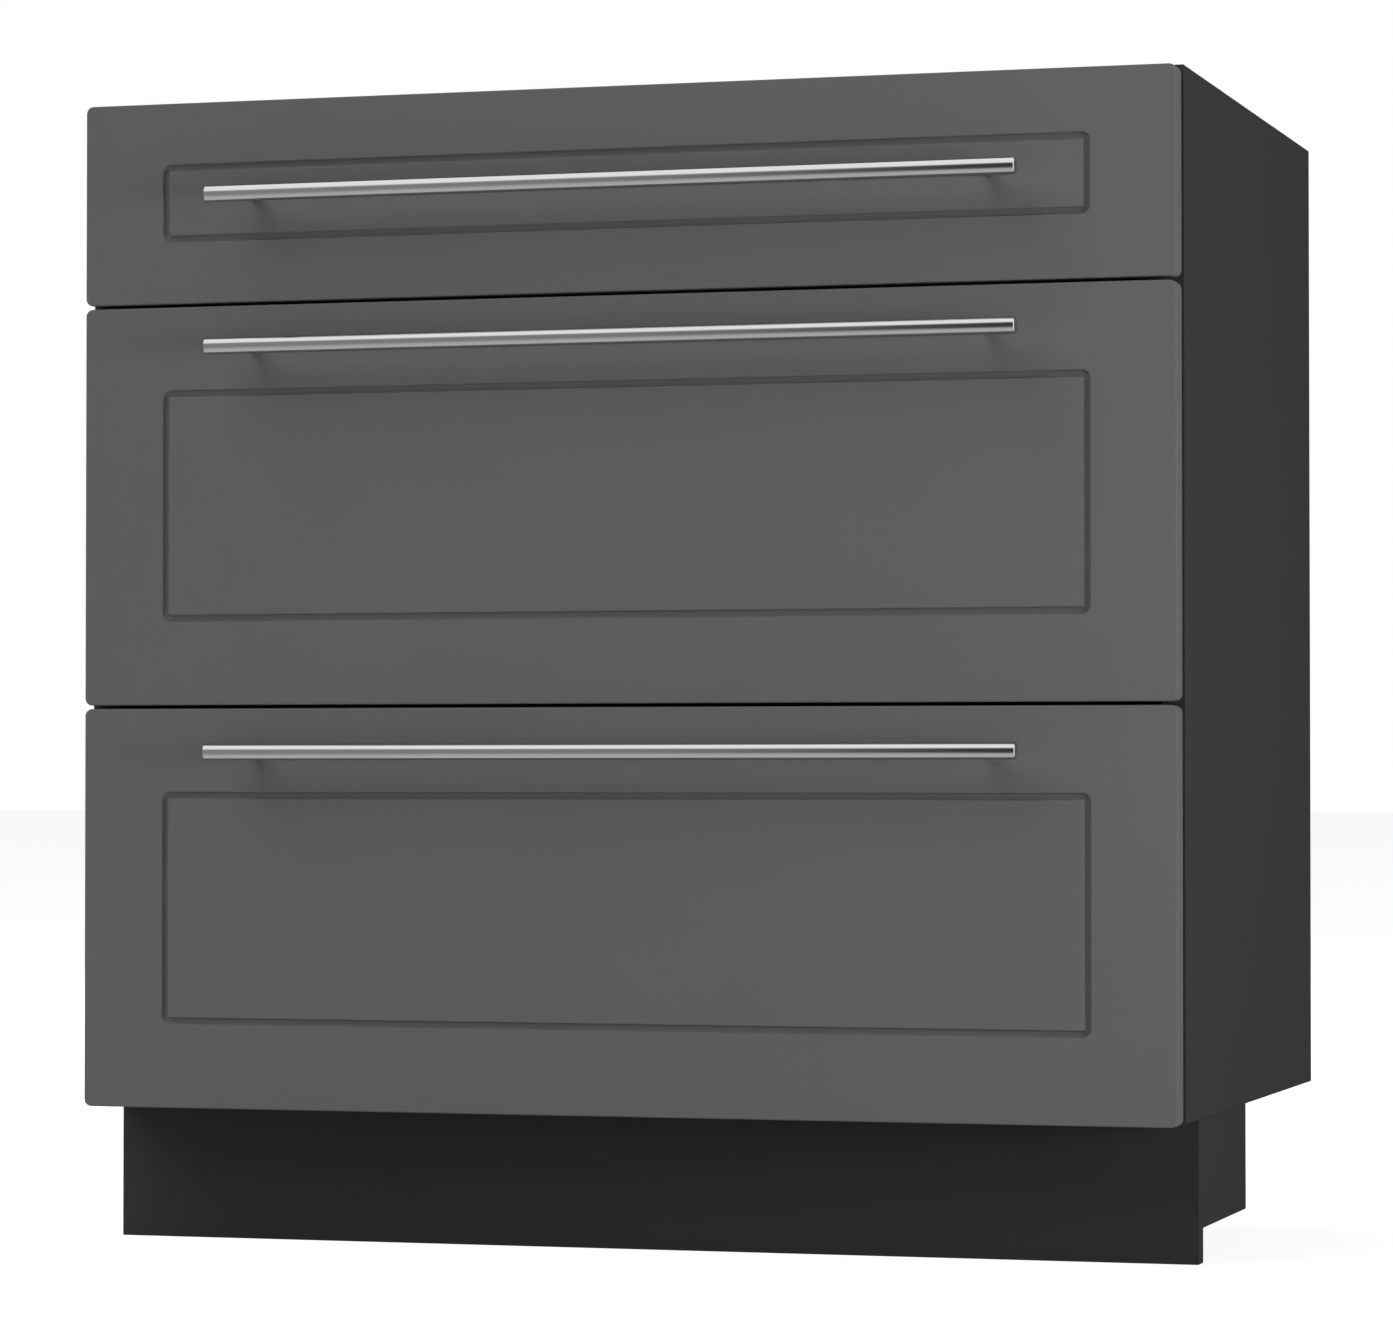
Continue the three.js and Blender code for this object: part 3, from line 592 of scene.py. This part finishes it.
class Draft:
    """Gathers the faces of one piece, in the cabinet's frame."""

    HEAD_SIDES = 32
    HEAD_RINGS = (0.1, 0.22, 0.36, 0.5, 0.62, 0.82, 0.95, 1.0)  # shares of the head's radius
    DOME_DROP = 0.35  # at the rim of a head, as a share of its rise
    RECESS_REACH = 0.55  # of the cross recess, as a share of the head's radius
    RECESS_FLOOR = 0.35  # above the head's seat, as a share of its rise
    RECESS_POINT = 0.3  # the same on the axis

    def __init__(self, name):
        self.name = name
        self.mesh = bmesh.new()

    def ring(self, points, place):
        return [self.mesh.verts.new(place @ Vector(p)) for p in points]

    def bridge(self, first, second):
        """Faces between two rings, of which one may be a single point."""
        count = max(len(first), len(second))
        for i in range(count):
            corners = [first[i % len(first)], first[(i + 1) % len(first)],
                       second[(i + 1) % len(second)], second[i % len(second)]]
            distinct = list(dict.fromkeys(corners))
            if len(distinct) > 2:
                self.mesh.faces.new(distinct)

    def skin(self, rings):
        for first, second in zip(rings, rings[1:]):
            self.bridge(first, second)

    def turned(self, profile, place, sides=24):
        """A profile of (radius, height) turned about the Z axis of place."""
        self.skin([self.ring(circle(radius, height, sides), place) for radius, height in profile])

    def prism(self, outline, low, high, place):
        """An outline of (x, y) drawn from low to high along the Z axis of place."""
        floor = self.ring([(x, y, low) for x, y in outline], place)
        roof = self.ring([(x, y, high) for x, y in outline], place)
        self.bridge(floor, roof)
        self.mesh.faces.new(floor)
        self.mesh.faces.new(roof)

    def block(self, low, high):
        outline = [(low[0], low[1]), (high[0], low[1]), (high[0], high[1]), (low[0], high[1])]
        self.prism(outline, low[2], high[2], Matrix.Identity(4))

    def crossed_screw(self, place, radius, rise, arm=0.2):
        """A screw head with a cross recess, standing on the XY plane of place."""
        sides = self.HEAD_SIDES
        recess = rise * self.RECESS_FLOOR
        rings = [self.ring(circle(0, rise * self.RECESS_POINT, sides), place)]
        for share in self.HEAD_RINGS:
            points = []
            for x, y, _ in circle(share, 0, sides):
                in_arm = min(abs(x), abs(y)) < arm / 2 and share < self.RECESS_REACH
                dome = rise * (1 - self.DOME_DROP * share ** 4)
                points.append((radius * x, radius * y, recess if in_arm else dome))
            rings.append(self.ring(points, place))
        rings.append(self.ring(circle(radius, 0, sides), place))
        rings.append(self.ring(circle(0, 0, sides), place))
        self.skin(rings)

    def made(self, body, slot, material, bevel=0.0):
        """Turns the draft into an object that rides on its body."""
        bmesh.ops.recalc_face_normals(self.mesh, faces=self.mesh.faces)
        for face in self.mesh.faces:
            face.smooth = True
        for edge in self.mesh.edges:
            if len(edge.link_faces) == 2 and edge.calc_face_angle() > SHARP:
                edge.smooth = False
        data = bpy.data.meshes.new(self.name)
        self.mesh.to_mesh(data)
        self.mesh.free()
        data.materials.append(material)
        piece = bpy.data.objects.new(self.name, data)
        bpy.context.scene.collection.objects.link(piece)
        soften(piece, bevel)
        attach(piece, body)


def middle_of(node_name):
    low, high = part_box(node_name)
    return (low + high) / 2


# ---- Carcass ---------------------------------------------------------
def dress_carcass(context):
    for side in SIDES:
        dress(f"side_panel_{side}", finish_of(context, "side_board"), PANEL_EDGE)
    dress("bottom_panel", finish_of(context, "floor_board"), BOARD_EDGE)
    dress("front_rail", finish_of(context, "rail_board"), BOARD_EDGE)
    dress("rear_rail", finish_of(context, "rail_board"), BOARD_EDGE)
    dress("back_panel", finish_of(context, "thin_back"))


def add_edge_bands(context):
    """Edge bands on the front edges of the side panels, the bottom panel and the front rail."""
    thickness = context.scene.cabinet_fittings.band
    bands = Draft("front_edge_bands")
    front_y = FRONT_EDGE_Y - thickness
    for sign in SIDES.values():
        low_x, high_x = sorted((sign * INNER_X, sign * OUTER_X))
        bands.block((low_x, front_y, SIDE_LOW.z), (high_x, FRONT_EDGE_Y, SIDE_HIGH.z))
    for low_z, high_z in ((FLOOR_LOW.z, FLOOR_HIGH.z), (RAIL_LOW.z, RAIL_HIGH.z)):
        bands.block((-INNER_X, front_y, low_z), (INNER_X, FRONT_EDGE_Y, high_z))
    bands.made("cabinet", "carcass_foil", finish_of(context, "edge_band"), BAND_EDGE)


def add_cams(context):
    """Cam fittings under the ends of the rails and of the bottom panel."""
    radius = context.scene.cabinet_fittings.cam_radius
    rim = [(radius * 0.8, 0.25 * MM), (radius * 0.86, 0.5 * MM), (radius, 0.35 * MM)]
    profile = [(0, 0.25 * MM), *rim, (radius, 0), (0, 0)]
    rear_rail_y = REAR_EDGE_Y - RAIL_DEPTH
    rows = [
        (FRONT_EDGE_Y + 25 * MM, RAIL_LOW.z),
        (FRONT_EDGE_Y + 75 * MM, RAIL_LOW.z),
        (rear_rail_y + 25 * MM, RAIL_LOW.z),
        (REAR_EDGE_Y - 45 * MM, RAIL_LOW.z),
        (FRONT_EDGE_Y + 30 * MM, FLOOR_LOW.z),
        (REAR_EDGE_Y - 110 * MM, FLOOR_LOW.z),
    ]
    cams = Draft("cam_fittings")
    for sign in SIDES.values():
        for y, z in rows:
            place = facing((0, 0, -1), (sign * (INNER_X - CAM_INSET), y, z))
            cams.turned(profile, place)
            slot = place @ Matrix.Translation((0, 0, 0.2 * MM))
            cams.crossed_screw(slot, radius * 0.5, 0.3 * MM)
    cams.made("cabinet", "runner_steel", finish_of(context, "zinc_plate"))


# ---- Plinth and legs -------------------------------------------------
def dress_plinth(context):
    for name in ("plinth_front", "plinth_return_left", "plinth_return_right"):
        dress(name, finish_of(context, "plinth_board"), BOARD_EDGE)


def dress_legs(context):
    plastic = finish_of(context, "black_plastic")
    for name in NODES:
        if name.startswith(("leg_", "plinth_clip_")):
            dress(name, plastic)


def add_leg_screws(context):
    """Screws under the plate of each leg and on the plate of each plinth clip."""
    radius = context.scene.cabinet_fittings.screw_radius
    plate_z = FLOOR_LOW.z - LEG_PLATE
    screws = Draft("leg_screws")
    for end in ("front", "rear"):
        for side in SIDES:
            middle = middle_of(f"leg_sleeve_{end}_{side}")
            for x in (-LEG_SCREW_REACH, LEG_SCREW_REACH):
                for y in (-LEG_SCREW_REACH, LEG_SCREW_REACH):
                    place = facing((0, 0, -1), (middle.x + x, middle.y + y, plate_z))
                    screws.crossed_screw(place, radius, LEG_SCREW_RISE)
    for side in SIDES:
        middle = middle_of(f"plinth_clip_{side}")
        plate_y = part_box(f"plinth_clip_{side}")[0].y + CLIP_WALL
        for x in (-CLIP_SCREW_REACH, CLIP_SCREW_REACH):
            place = facing((0, 1, 0), (middle.x + x, plate_y, middle.z))
            screws.crossed_screw(place, radius, LEG_SCREW_RISE)
    screws.made("cabinet", "runner_steel", finish_of(context, "screw_steel"))


# ---- Fronts and handles ----------------------------------------------
def dress_fronts(context):
    for drawer in DRAWERS:
        dress(f"{drawer}_drawer_front", finish_of(context, "front_foil"))


def add_buffers(context):
    """Four closing buffers on the rear of each front, where it meets the side panels."""
    fittings = context.scene.cabinet_fittings
    radius = fittings.buffer_radius
    for drawer in DRAWERS:
        low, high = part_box(f"{drawer}_drawer_front")
        reach = FRONT_EDGE_Y - high.y - fittings.band
        dome = [(0, reach), (radius * 0.6, reach), (radius * 0.85, reach * 0.85)]
        profile = [*dome, (radius, reach * 0.4), (radius, 0), (0, 0)]
        buffers = Draft(f"{drawer}_front_buffers")
        for sign in SIDES.values():
            x = sign * (INNER_X + OUTER_X) / 2
            for z in (low.z + BUFFER_INSET, high.z - BUFFER_INSET):
                buffers.turned(profile, facing((0, 1, 0), (x, high.y, z)))
        buffers.made(f"{drawer}_drawer", "black_plastic", finish_of(context, "buffer_plastic"))


def dress_handles(context):
    for drawer in DRAWERS:
        dress(f"{drawer}_handle_bar", finish_of(context, "bar_steel"))
        for side in SIDES:
            dress(f"{drawer}_handle_post_{side}", finish_of(context, "post_steel"))


def add_handle_screws(context):
    """A pan-head screw on a washer behind each handle post."""
    fittings = context.scene.cabinet_fittings
    washer = fittings.washer_radius
    rim = [(washer, 0), (washer, 0.7 * MM), (washer * 0.92, WASHER_RISE)]
    profile = [(0, 0), *rim, (0, WASHER_RISE)]
    for drawer in DRAWERS:
        rear_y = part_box(f"{drawer}_drawer_front")[1].y
        screws = Draft(f"{drawer}_handle_screws")
        for side in SIDES:
            middle = middle_of(f"{drawer}_handle_post_{side}")
            place = facing((0, 1, 0), (middle.x, rear_y, middle.z))
            screws.turned(profile, place)
            seat = place @ Matrix.Translation((0, 0, WASHER_RISE))
            screws.crossed_screw(seat, fittings.handle_screw_radius, HANDLE_SCREW_RISE)
        screws.made(f"{drawer}_drawer", "runner_steel", finish_of(context, "screw_steel"))


# ---- Drawer boxes and runners ----------------------------------------
def dress_drawers(context):
    for drawer in DRAWERS:
        dress(f"{drawer}_drawer_bottom", finish_of(context, "drawer_board"), BOARD_EDGE)
        dress(f"{drawer}_drawer_back", finish_of(context, "drawer_board"), BOARD_EDGE)
        for side in SIDES:
            dress(f"{drawer}_drawer_side_{side}", finish_of(context, "powder_coat"))
            if f"{drawer}_drawer_rail_{side}" in NODES:
                dress(f"{drawer}_drawer_rail_{side}", finish_of(context, "powder_coat"))


def side_face(drawer):
    """How far the inner face of a drawer side is from the middle of the cabinet."""
    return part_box(f"{drawer}_drawer_bottom")[1].x + SIDE_BEND


def bracket_outline(width, sheet, bend):
    """A folded leaf in plan: from the corner along X and along Y."""
    quarter = [math.pi / 8 * step for step in range(5)]
    points = [(width, 0), (width, sheet)]
    points += [(sheet + bend * (1 - math.sin(a)), sheet + bend * (1 - math.cos(a)))
               for a in quarter]
    points += [(sheet, width), (0, width)]
    outer = sheet + bend
    points += [(outer * (1 - math.cos(a)), outer * (1 - math.sin(a))) for a in quarter]
    return points


def add_brackets(context):
    """Folded brackets that screw each drawer side to its front and to its back board."""
    fittings = context.scene.cabinet_fittings
    radius, width = fittings.screw_radius, fittings.bracket_width
    height, sheet = fittings.bracket_height, fittings.bracket_sheet
    leaf = bracket_outline(width, sheet, BRACKET_BEND)
    for drawer in DRAWERS:
        brackets = Draft(f"{drawer}_drawer_brackets")
        screws = Draft(f"{drawer}_bracket_screws")
        face_x = side_face(drawer)
        low_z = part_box(f"{drawer}_drawer_bottom")[1].z + BRACKET_LIFT
        front_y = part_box(f"{drawer}_drawer_front")[1].y
        back_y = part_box(f"{drawer}_drawer_back")[0].y
        for sign in SIDES.values():
            for end_y, inward in ((front_y, 1), (back_y, -1)):
                outline = [(sign * (face_x - x), end_y + inward * y) for x, y in leaf]
                brackets.prism(outline, low_z, low_z + height, Matrix.Identity(4))
                for z in (low_z + 0.22 * height, low_z + 0.78 * height):
                    on_board = (sign * (face_x - 0.6 * width), end_y + inward * sheet, z)
                    place = facing((0, inward, 0), on_board)
                    screws.crossed_screw(place, radius, BRACKET_SCREW_RISE)
                    on_side = (sign * (face_x - sheet), end_y + inward * 0.6 * width, z)
                    place = facing((-sign, 0, 0), on_side)
                    screws.crossed_screw(place, radius, BRACKET_SCREW_RISE)
        body = f"{drawer}_drawer"
        brackets.made(body, "runner_steel", finish_of(context, "zinc_plate"), BRACKET_EDGE)
        screws.made(body, "runner_steel", finish_of(context, "screw_steel"))


def rounded_rectangle(width, height, radius, steps=5):
    points = []
    for quarter, (x_sign, y_sign) in enumerate(((1, 1), (-1, 1), (-1, -1), (1, -1))):
        x = x_sign * (width / 2 - radius)
        y = y_sign * (height / 2 - radius)
        for step in range(steps + 1):
            angle = math.pi / 2 * (quarter + step / steps)
            points.append((x + radius * math.cos(angle), y + radius * math.sin(angle)))
    return points


def add_side_caps(context):
    """A plain cover on the inner face of each drawer side, over its height adjuster."""
    outline = rounded_rectangle(*CAP_SIZE, CAP_CORNER)
    for drawer in DRAWERS:
        caps = Draft(f"{drawer}_side_caps")
        low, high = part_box(f"{drawer}_drawer_side_right")
        y, z = low.y + CAP_BEHIND_FRONT, high.z - CAP_BELOW_TOP
        for sign in SIDES.values():
            middle = Matrix.Translation((sign * side_face(drawer), y, z))
            place = middle @ Matrix.Rotation(math.pi / 2, 4, "Y")
            caps.prism(outline, *sorted((0, -sign * CAP_THICKNESS)), place)
        plastic = finish_of(context, "black_plastic")
        caps.made(f"{drawer}_drawer", "black_plastic", plastic, CAP_EDGE)


def dress_runners(context):
    for name in NODES:
        if name.endswith(("_cabinet_member", "_middle_member")):
            dress(name, finish_of(context, "zinc_plate"))


def add_runner_screws(context):
    """Countersunk screws in the four holes of each cabinet member, flush with its sheet."""
    screws = Draft("runner_screws")
    for drawer in DRAWERS:
        for side, sign in SIDES.items():
            low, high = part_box(f"{drawer}_runner_{side}_cabinet_member")
            for along in RUNNER_HOLES:
                middle = (sign * INNER_X, low.y + along * MM, (low.z + high.z) / 2)
                place = facing((-sign, 0, 0), middle)
                screws.crossed_screw(place, RUNNER_SCREW_RADIUS, RUNNER_SHEET - 0.1 * MM, 0.3)
    screws.made("cabinet", "runner_steel", finish_of(context, "screw_steel"))


def add_runner_stops(context):
    """Rubber stops at the rear end of each cabinet member."""
    stops = Draft("runner_stops")
    for drawer in DRAWERS:
        for side, sign in SIDES.items():
            low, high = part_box(f"{drawer}_runner_{side}_cabinet_member")
            front_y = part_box(f"{drawer}_runner_{side}_middle_member")[1].y + STOP_PLAY
            low_x, high_x = sorted(sign * (INNER_X - out) for out in STOP_FACES)
            stops.block((low_x, front_y, low.z + STOP_INSET),
                        (high_x, high.y - STOP_PLAY, high.z - STOP_INSET))
    stops.made("cabinet", "black_plastic", finish_of(context, "black_plastic"), STOP_EDGE)


# ---- Studio ----------------------------------------------------------
# Each lamp's place, the point that it faces, its width and its height.
LAMPS = {
    "side": ((2.6, -1.3, 0.4), (0.3, 0, 0.3), 1.4, 0.7),
    "top": ((-5.6, -6.5, 9.5), (0, -0.2, 0.45), 9.3, 9.3),
    "rear": ((-1.6, 3.6, 2.6), (0, 0.2, 0.4), 2.4, 2.0),
}
FLOOR_REACH = 40
FLOOR_DROP = 0.1 * MM  # below the cabinet's feet
FLOOR_TONE = 0.35  # share of the floor's colour that its glow is added to

# Strengths of the studio that metal mirrors, by direction.
FRONT_WALL, LEFT_WALL, RIGHT_WALL, REAR_WALL = 0.32, 0.1, 1.3, 0.03
CEILING, GROUND = 1.2, 0.6
SCREEN = 0.95  # share that a dark screen before the front wall takes away


def add_camera(context):
    studio = context.scene.cabinet_studio
    data = bpy.data.cameras.new("product_camera")
    data.sensor_fit = "HORIZONTAL"
    data.sensor_width = 36
    data.lens = studio.lens
    data.clip_start = 0.05
    data.clip_end = 200
    camera = bpy.data.objects.new("product_camera", data)
    camera.location = studio.camera_place
    camera.rotation_euler = (math.pi / 2 + studio.camera_tilt, 0, studio.camera_turn)
    context.scene.collection.objects.link(camera)
    context.scene.camera = camera


def add_lamp(context, name, place, target, width, height, power):
    """A soft lamp that lights the cabinet and shows in no reflection."""
    data = bpy.data.lights.new(name, "AREA")
    data.shape = "RECTANGLE"
    data.size = width
    data.size_y = height
    data.energy = power
    lamp = bpy.data.objects.new(name, data)
    lamp.location = place
    lamp.rotation_euler = (Vector(target) - Vector(place)).to_track_quat("-Z", "Y").to_euler()
    lamp.visible_camera = False
    lamp.visible_glossy = False
    context.scene.collection.objects.link(lamp)


def add_floor(context):
    """A white floor that keeps the cabinet's shadow and is lifted to white for the camera."""
    studio = context.scene.cabinet_studio
    material = bpy.data.materials.new("studio_floor")
    material.use_nodes = True
    nodes = Nodes(material.node_tree)
    plain = nodes.node("ShaderNodeBsdfDiffuse", {"Color": (*studio.floor, 1)})
    toned = (*(FLOOR_TONE * level for level in studio.floor), 1)
    seen = nodes.node("ShaderNodeBsdfDiffuse", {"Color": toned})
    glow = nodes.node("ShaderNodeEmission", {"Strength": studio.floor_glow})
    lifted = nodes.node("ShaderNodeAddShader", {0: seen.outputs[0], 1: glow.outputs[0]})
    surface = nodes.chosen(nodes.direct(), plain.outputs[0], lifted.outputs[0])
    nodes.node("ShaderNodeOutputMaterial", {"Surface": surface})
    corners = [(x * FLOOR_REACH, y * FLOOR_REACH, -FLOOR_DROP)
               for x, y in ((-1, -1), (1, -1), (1, 1), (-1, 1))]
    data = bpy.data.meshes.new("studio_floor")
    data.from_pydata(corners, [], [(0, 1, 2, 3)])
    data.materials.append(material)
    floor = bpy.data.objects.new("studio_floor", data)
    floor.visible_glossy = False
    context.scene.collection.objects.link(floor)


def add_world(context):
    """White for the camera, even light for dull surfaces, and a studio for metal to mirror."""
    studio = context.scene.cabinet_studio
    world = bpy.data.worlds.new("studio_world")
    world.use_nodes = True
    context.scene.world = world
    nodes = Nodes(world.node_tree)
    direction = nodes.node("ShaderNodeTexCoord").outputs["Generated"]
    across, away, up = nodes.node("ShaderNodeSeparateXYZ", {"Vector": direction}).outputs
    # 0 straight before the cabinet, and rising towards its left.
    turn = nodes.number(
        "ARCTAN2", nodes.number("MULTIPLY", across, -1.0), nodes.number("MULTIPLY", away, -1.0))

    def turning(value, low, high, start, end):
        """A soft step between two angles in degrees."""
        return nodes.between(value, math.radians(low), math.radians(high), start, end)

    def light(strength):
        inputs = {"Color": (1, 1, 1, 1), "Strength": strength}
        return nodes.node("ShaderNodeBackground", inputs).outputs[0]

    left = turning(turn, 50, 100, FRONT_WALL, LEFT_WALL)
    right = turning(turn, -60, -40, RIGHT_WALL, left)
    rear_right = turning(turn, -125, -100, REAR_WALL, right)
    walls = turning(turn, 100, 130, rear_right, REAR_WALL)
    ceiling = nodes.between(up, 0.38, 0.72, walls, CEILING)
    room = nodes.between(up, -0.85, -0.2, GROUND, ceiling)

    off_middle = nodes.number("ABSOLUTE", nodes.number("SUBTRACT", turn, math.radians(2)))
    screen = turning(off_middle, 12, 14.5, SCREEN, 0.0)
    for edge in (nodes.between(up, 0.4, 0.64, 1.0, 0.0), nodes.between(up, -0.78, -0.5)):
        screen = nodes.number("MULTIPLY", screen, edge)
    mirrored = nodes.number("MULTIPLY", room, nodes.number("SUBTRACT", 1.0, screen))

    glossy = nodes.node("ShaderNodeLightPath").outputs["Is Glossy Ray"]
    indirect = nodes.chosen(glossy, light(studio.even_light), light(mirrored))
    background = nodes.chosen(nodes.direct(), indirect, light(1.0))
    nodes.node("ShaderNodeOutputWorld", {"Surface": background})


def build_studio(context):
    studio = context.scene.cabinet_studio
    add_camera(context)
    for name, (place, target, width, height) in LAMPS.items():
        power = getattr(studio, f"{name}_power")
        add_lamp(context, f"{name}_lamp", place, target, width, height, power)
    add_floor(context)
    add_world(context)
    context.scene.view_settings.view_transform = "Standard"


# ---- Operators -------------------------------------------------------
class CABINET_OT_studio(bpy.types.Operator):
    """Set up the camera, the lamps, the floor and the world"""
    bl_idname = "cabinet.studio"
    bl_label = "Studio"

    def execute(self, context):
        build_studio(context)
        return {"FINISHED"}


class CABINET_OT_carcass(bpy.types.Operator):
    """Finish the carcass boards and add their edge bands and cam fittings"""
    bl_idname = "cabinet.carcass"
    bl_label = "Carcass"

    def execute(self, context):
        dress_carcass(context)
        add_edge_bands(context)
        add_cams(context)
        return {"FINISHED"}


class CABINET_OT_plinth(bpy.types.Operator):
    """Finish the plinth and its returns"""
    bl_idname = "cabinet.plinth"
    bl_label = "Plinth"

    def execute(self, context):
        dress_plinth(context)
        return {"FINISHED"}


class CABINET_OT_legs(bpy.types.Operator):
    """Finish the adjustable legs and the plinth clips and add their screws"""
    bl_idname = "cabinet.legs"
    bl_label = "Legs and clips"

    def execute(self, context):
        dress_legs(context)
        add_leg_screws(context)
        return {"FINISHED"}


class CABINET_OT_fronts(bpy.types.Operator):
    """Finish the milled drawer fronts and add their closing buffers"""
    bl_idname = "cabinet.fronts"
    bl_label = "Drawer fronts"

    def execute(self, context):
        dress_fronts(context)
        add_buffers(context)
        return {"FINISHED"}


class CABINET_OT_handles(bpy.types.Operator):
    """Finish the bar handles and add the screws behind them"""
    bl_idname = "cabinet.handles"
    bl_label = "Bar handles"

    def execute(self, context):
        dress_handles(context)
        add_handle_screws(context)
        return {"FINISHED"}


class CABINET_OT_drawers(bpy.types.Operator):
    """Finish the drawer boxes and add their brackets and side covers"""
    bl_idname = "cabinet.drawers"
    bl_label = "Drawer boxes"

    def execute(self, context):
        dress_drawers(context)
        add_brackets(context)
        add_side_caps(context)
        return {"FINISHED"}


class CABINET_OT_runners(bpy.types.Operator):
    """Finish the telescopic runners and add their screws and stops"""
    bl_idname = "cabinet.runners"
    bl_label = "Runners"

    def execute(self, context):
        dress_runners(context)
        add_runner_screws(context)
        add_runner_stops(context)
        return {"FINISHED"}


STEPS = (
    CABINET_OT_studio, CABINET_OT_carcass, CABINET_OT_plinth, CABINET_OT_legs,
    CABINET_OT_fronts, CABINET_OT_handles, CABINET_OT_drawers, CABINET_OT_runners,
)
SETTINGS = {
    "cabinet_finishes": CabinetFinishes,
    "cabinet_fittings": CabinetFittings,
    "cabinet_studio": CabinetStudio,
}


class CABINET_PT_steps(bpy.types.Panel):
    """The steps that dress the cabinet, in their order, with their settings"""
    bl_idname = "CABINET_PT_steps"
    bl_label = "Base cabinet"
    bl_space_type = "VIEW_3D"
    bl_region_type = "UI"
    bl_category = "Cabinet"

    def draw(self, context):
        for step in STEPS:
            self.layout.operator(step.bl_idname)
        for title, group in SETTINGS.items():
            box = self.layout.box()
            box.label(text=title.replace("_", " ").capitalize())
            values = getattr(context.scene, title)
            for name in group.__annotations__:
                box.prop(values, name)


CLASSES = (*SETTINGS.values(), *STEPS, CABINET_PT_steps)


def register():
    for cls in CLASSES:
        bpy.utils.register_class(cls)
    for name, group in SETTINGS.items():
        setattr(bpy.types.Scene, name, bpy.props.PointerProperty(type=group))


def unregister():
    for name in SETTINGS:
        delattr(bpy.types.Scene, name)
    for cls in reversed(CLASSES):
        bpy.utils.unregister_class(cls)


def main():
    register()
    bpy.ops.cabinet.studio()
    bpy.ops.cabinet.carcass()
    bpy.ops.cabinet.plinth()
    bpy.ops.cabinet.legs()
    bpy.ops.cabinet.fronts()
    bpy.ops.cabinet.handles()
    bpy.ops.cabinet.drawers()
    bpy.ops.cabinet.runners()


if __name__ == "__main__":
    main()
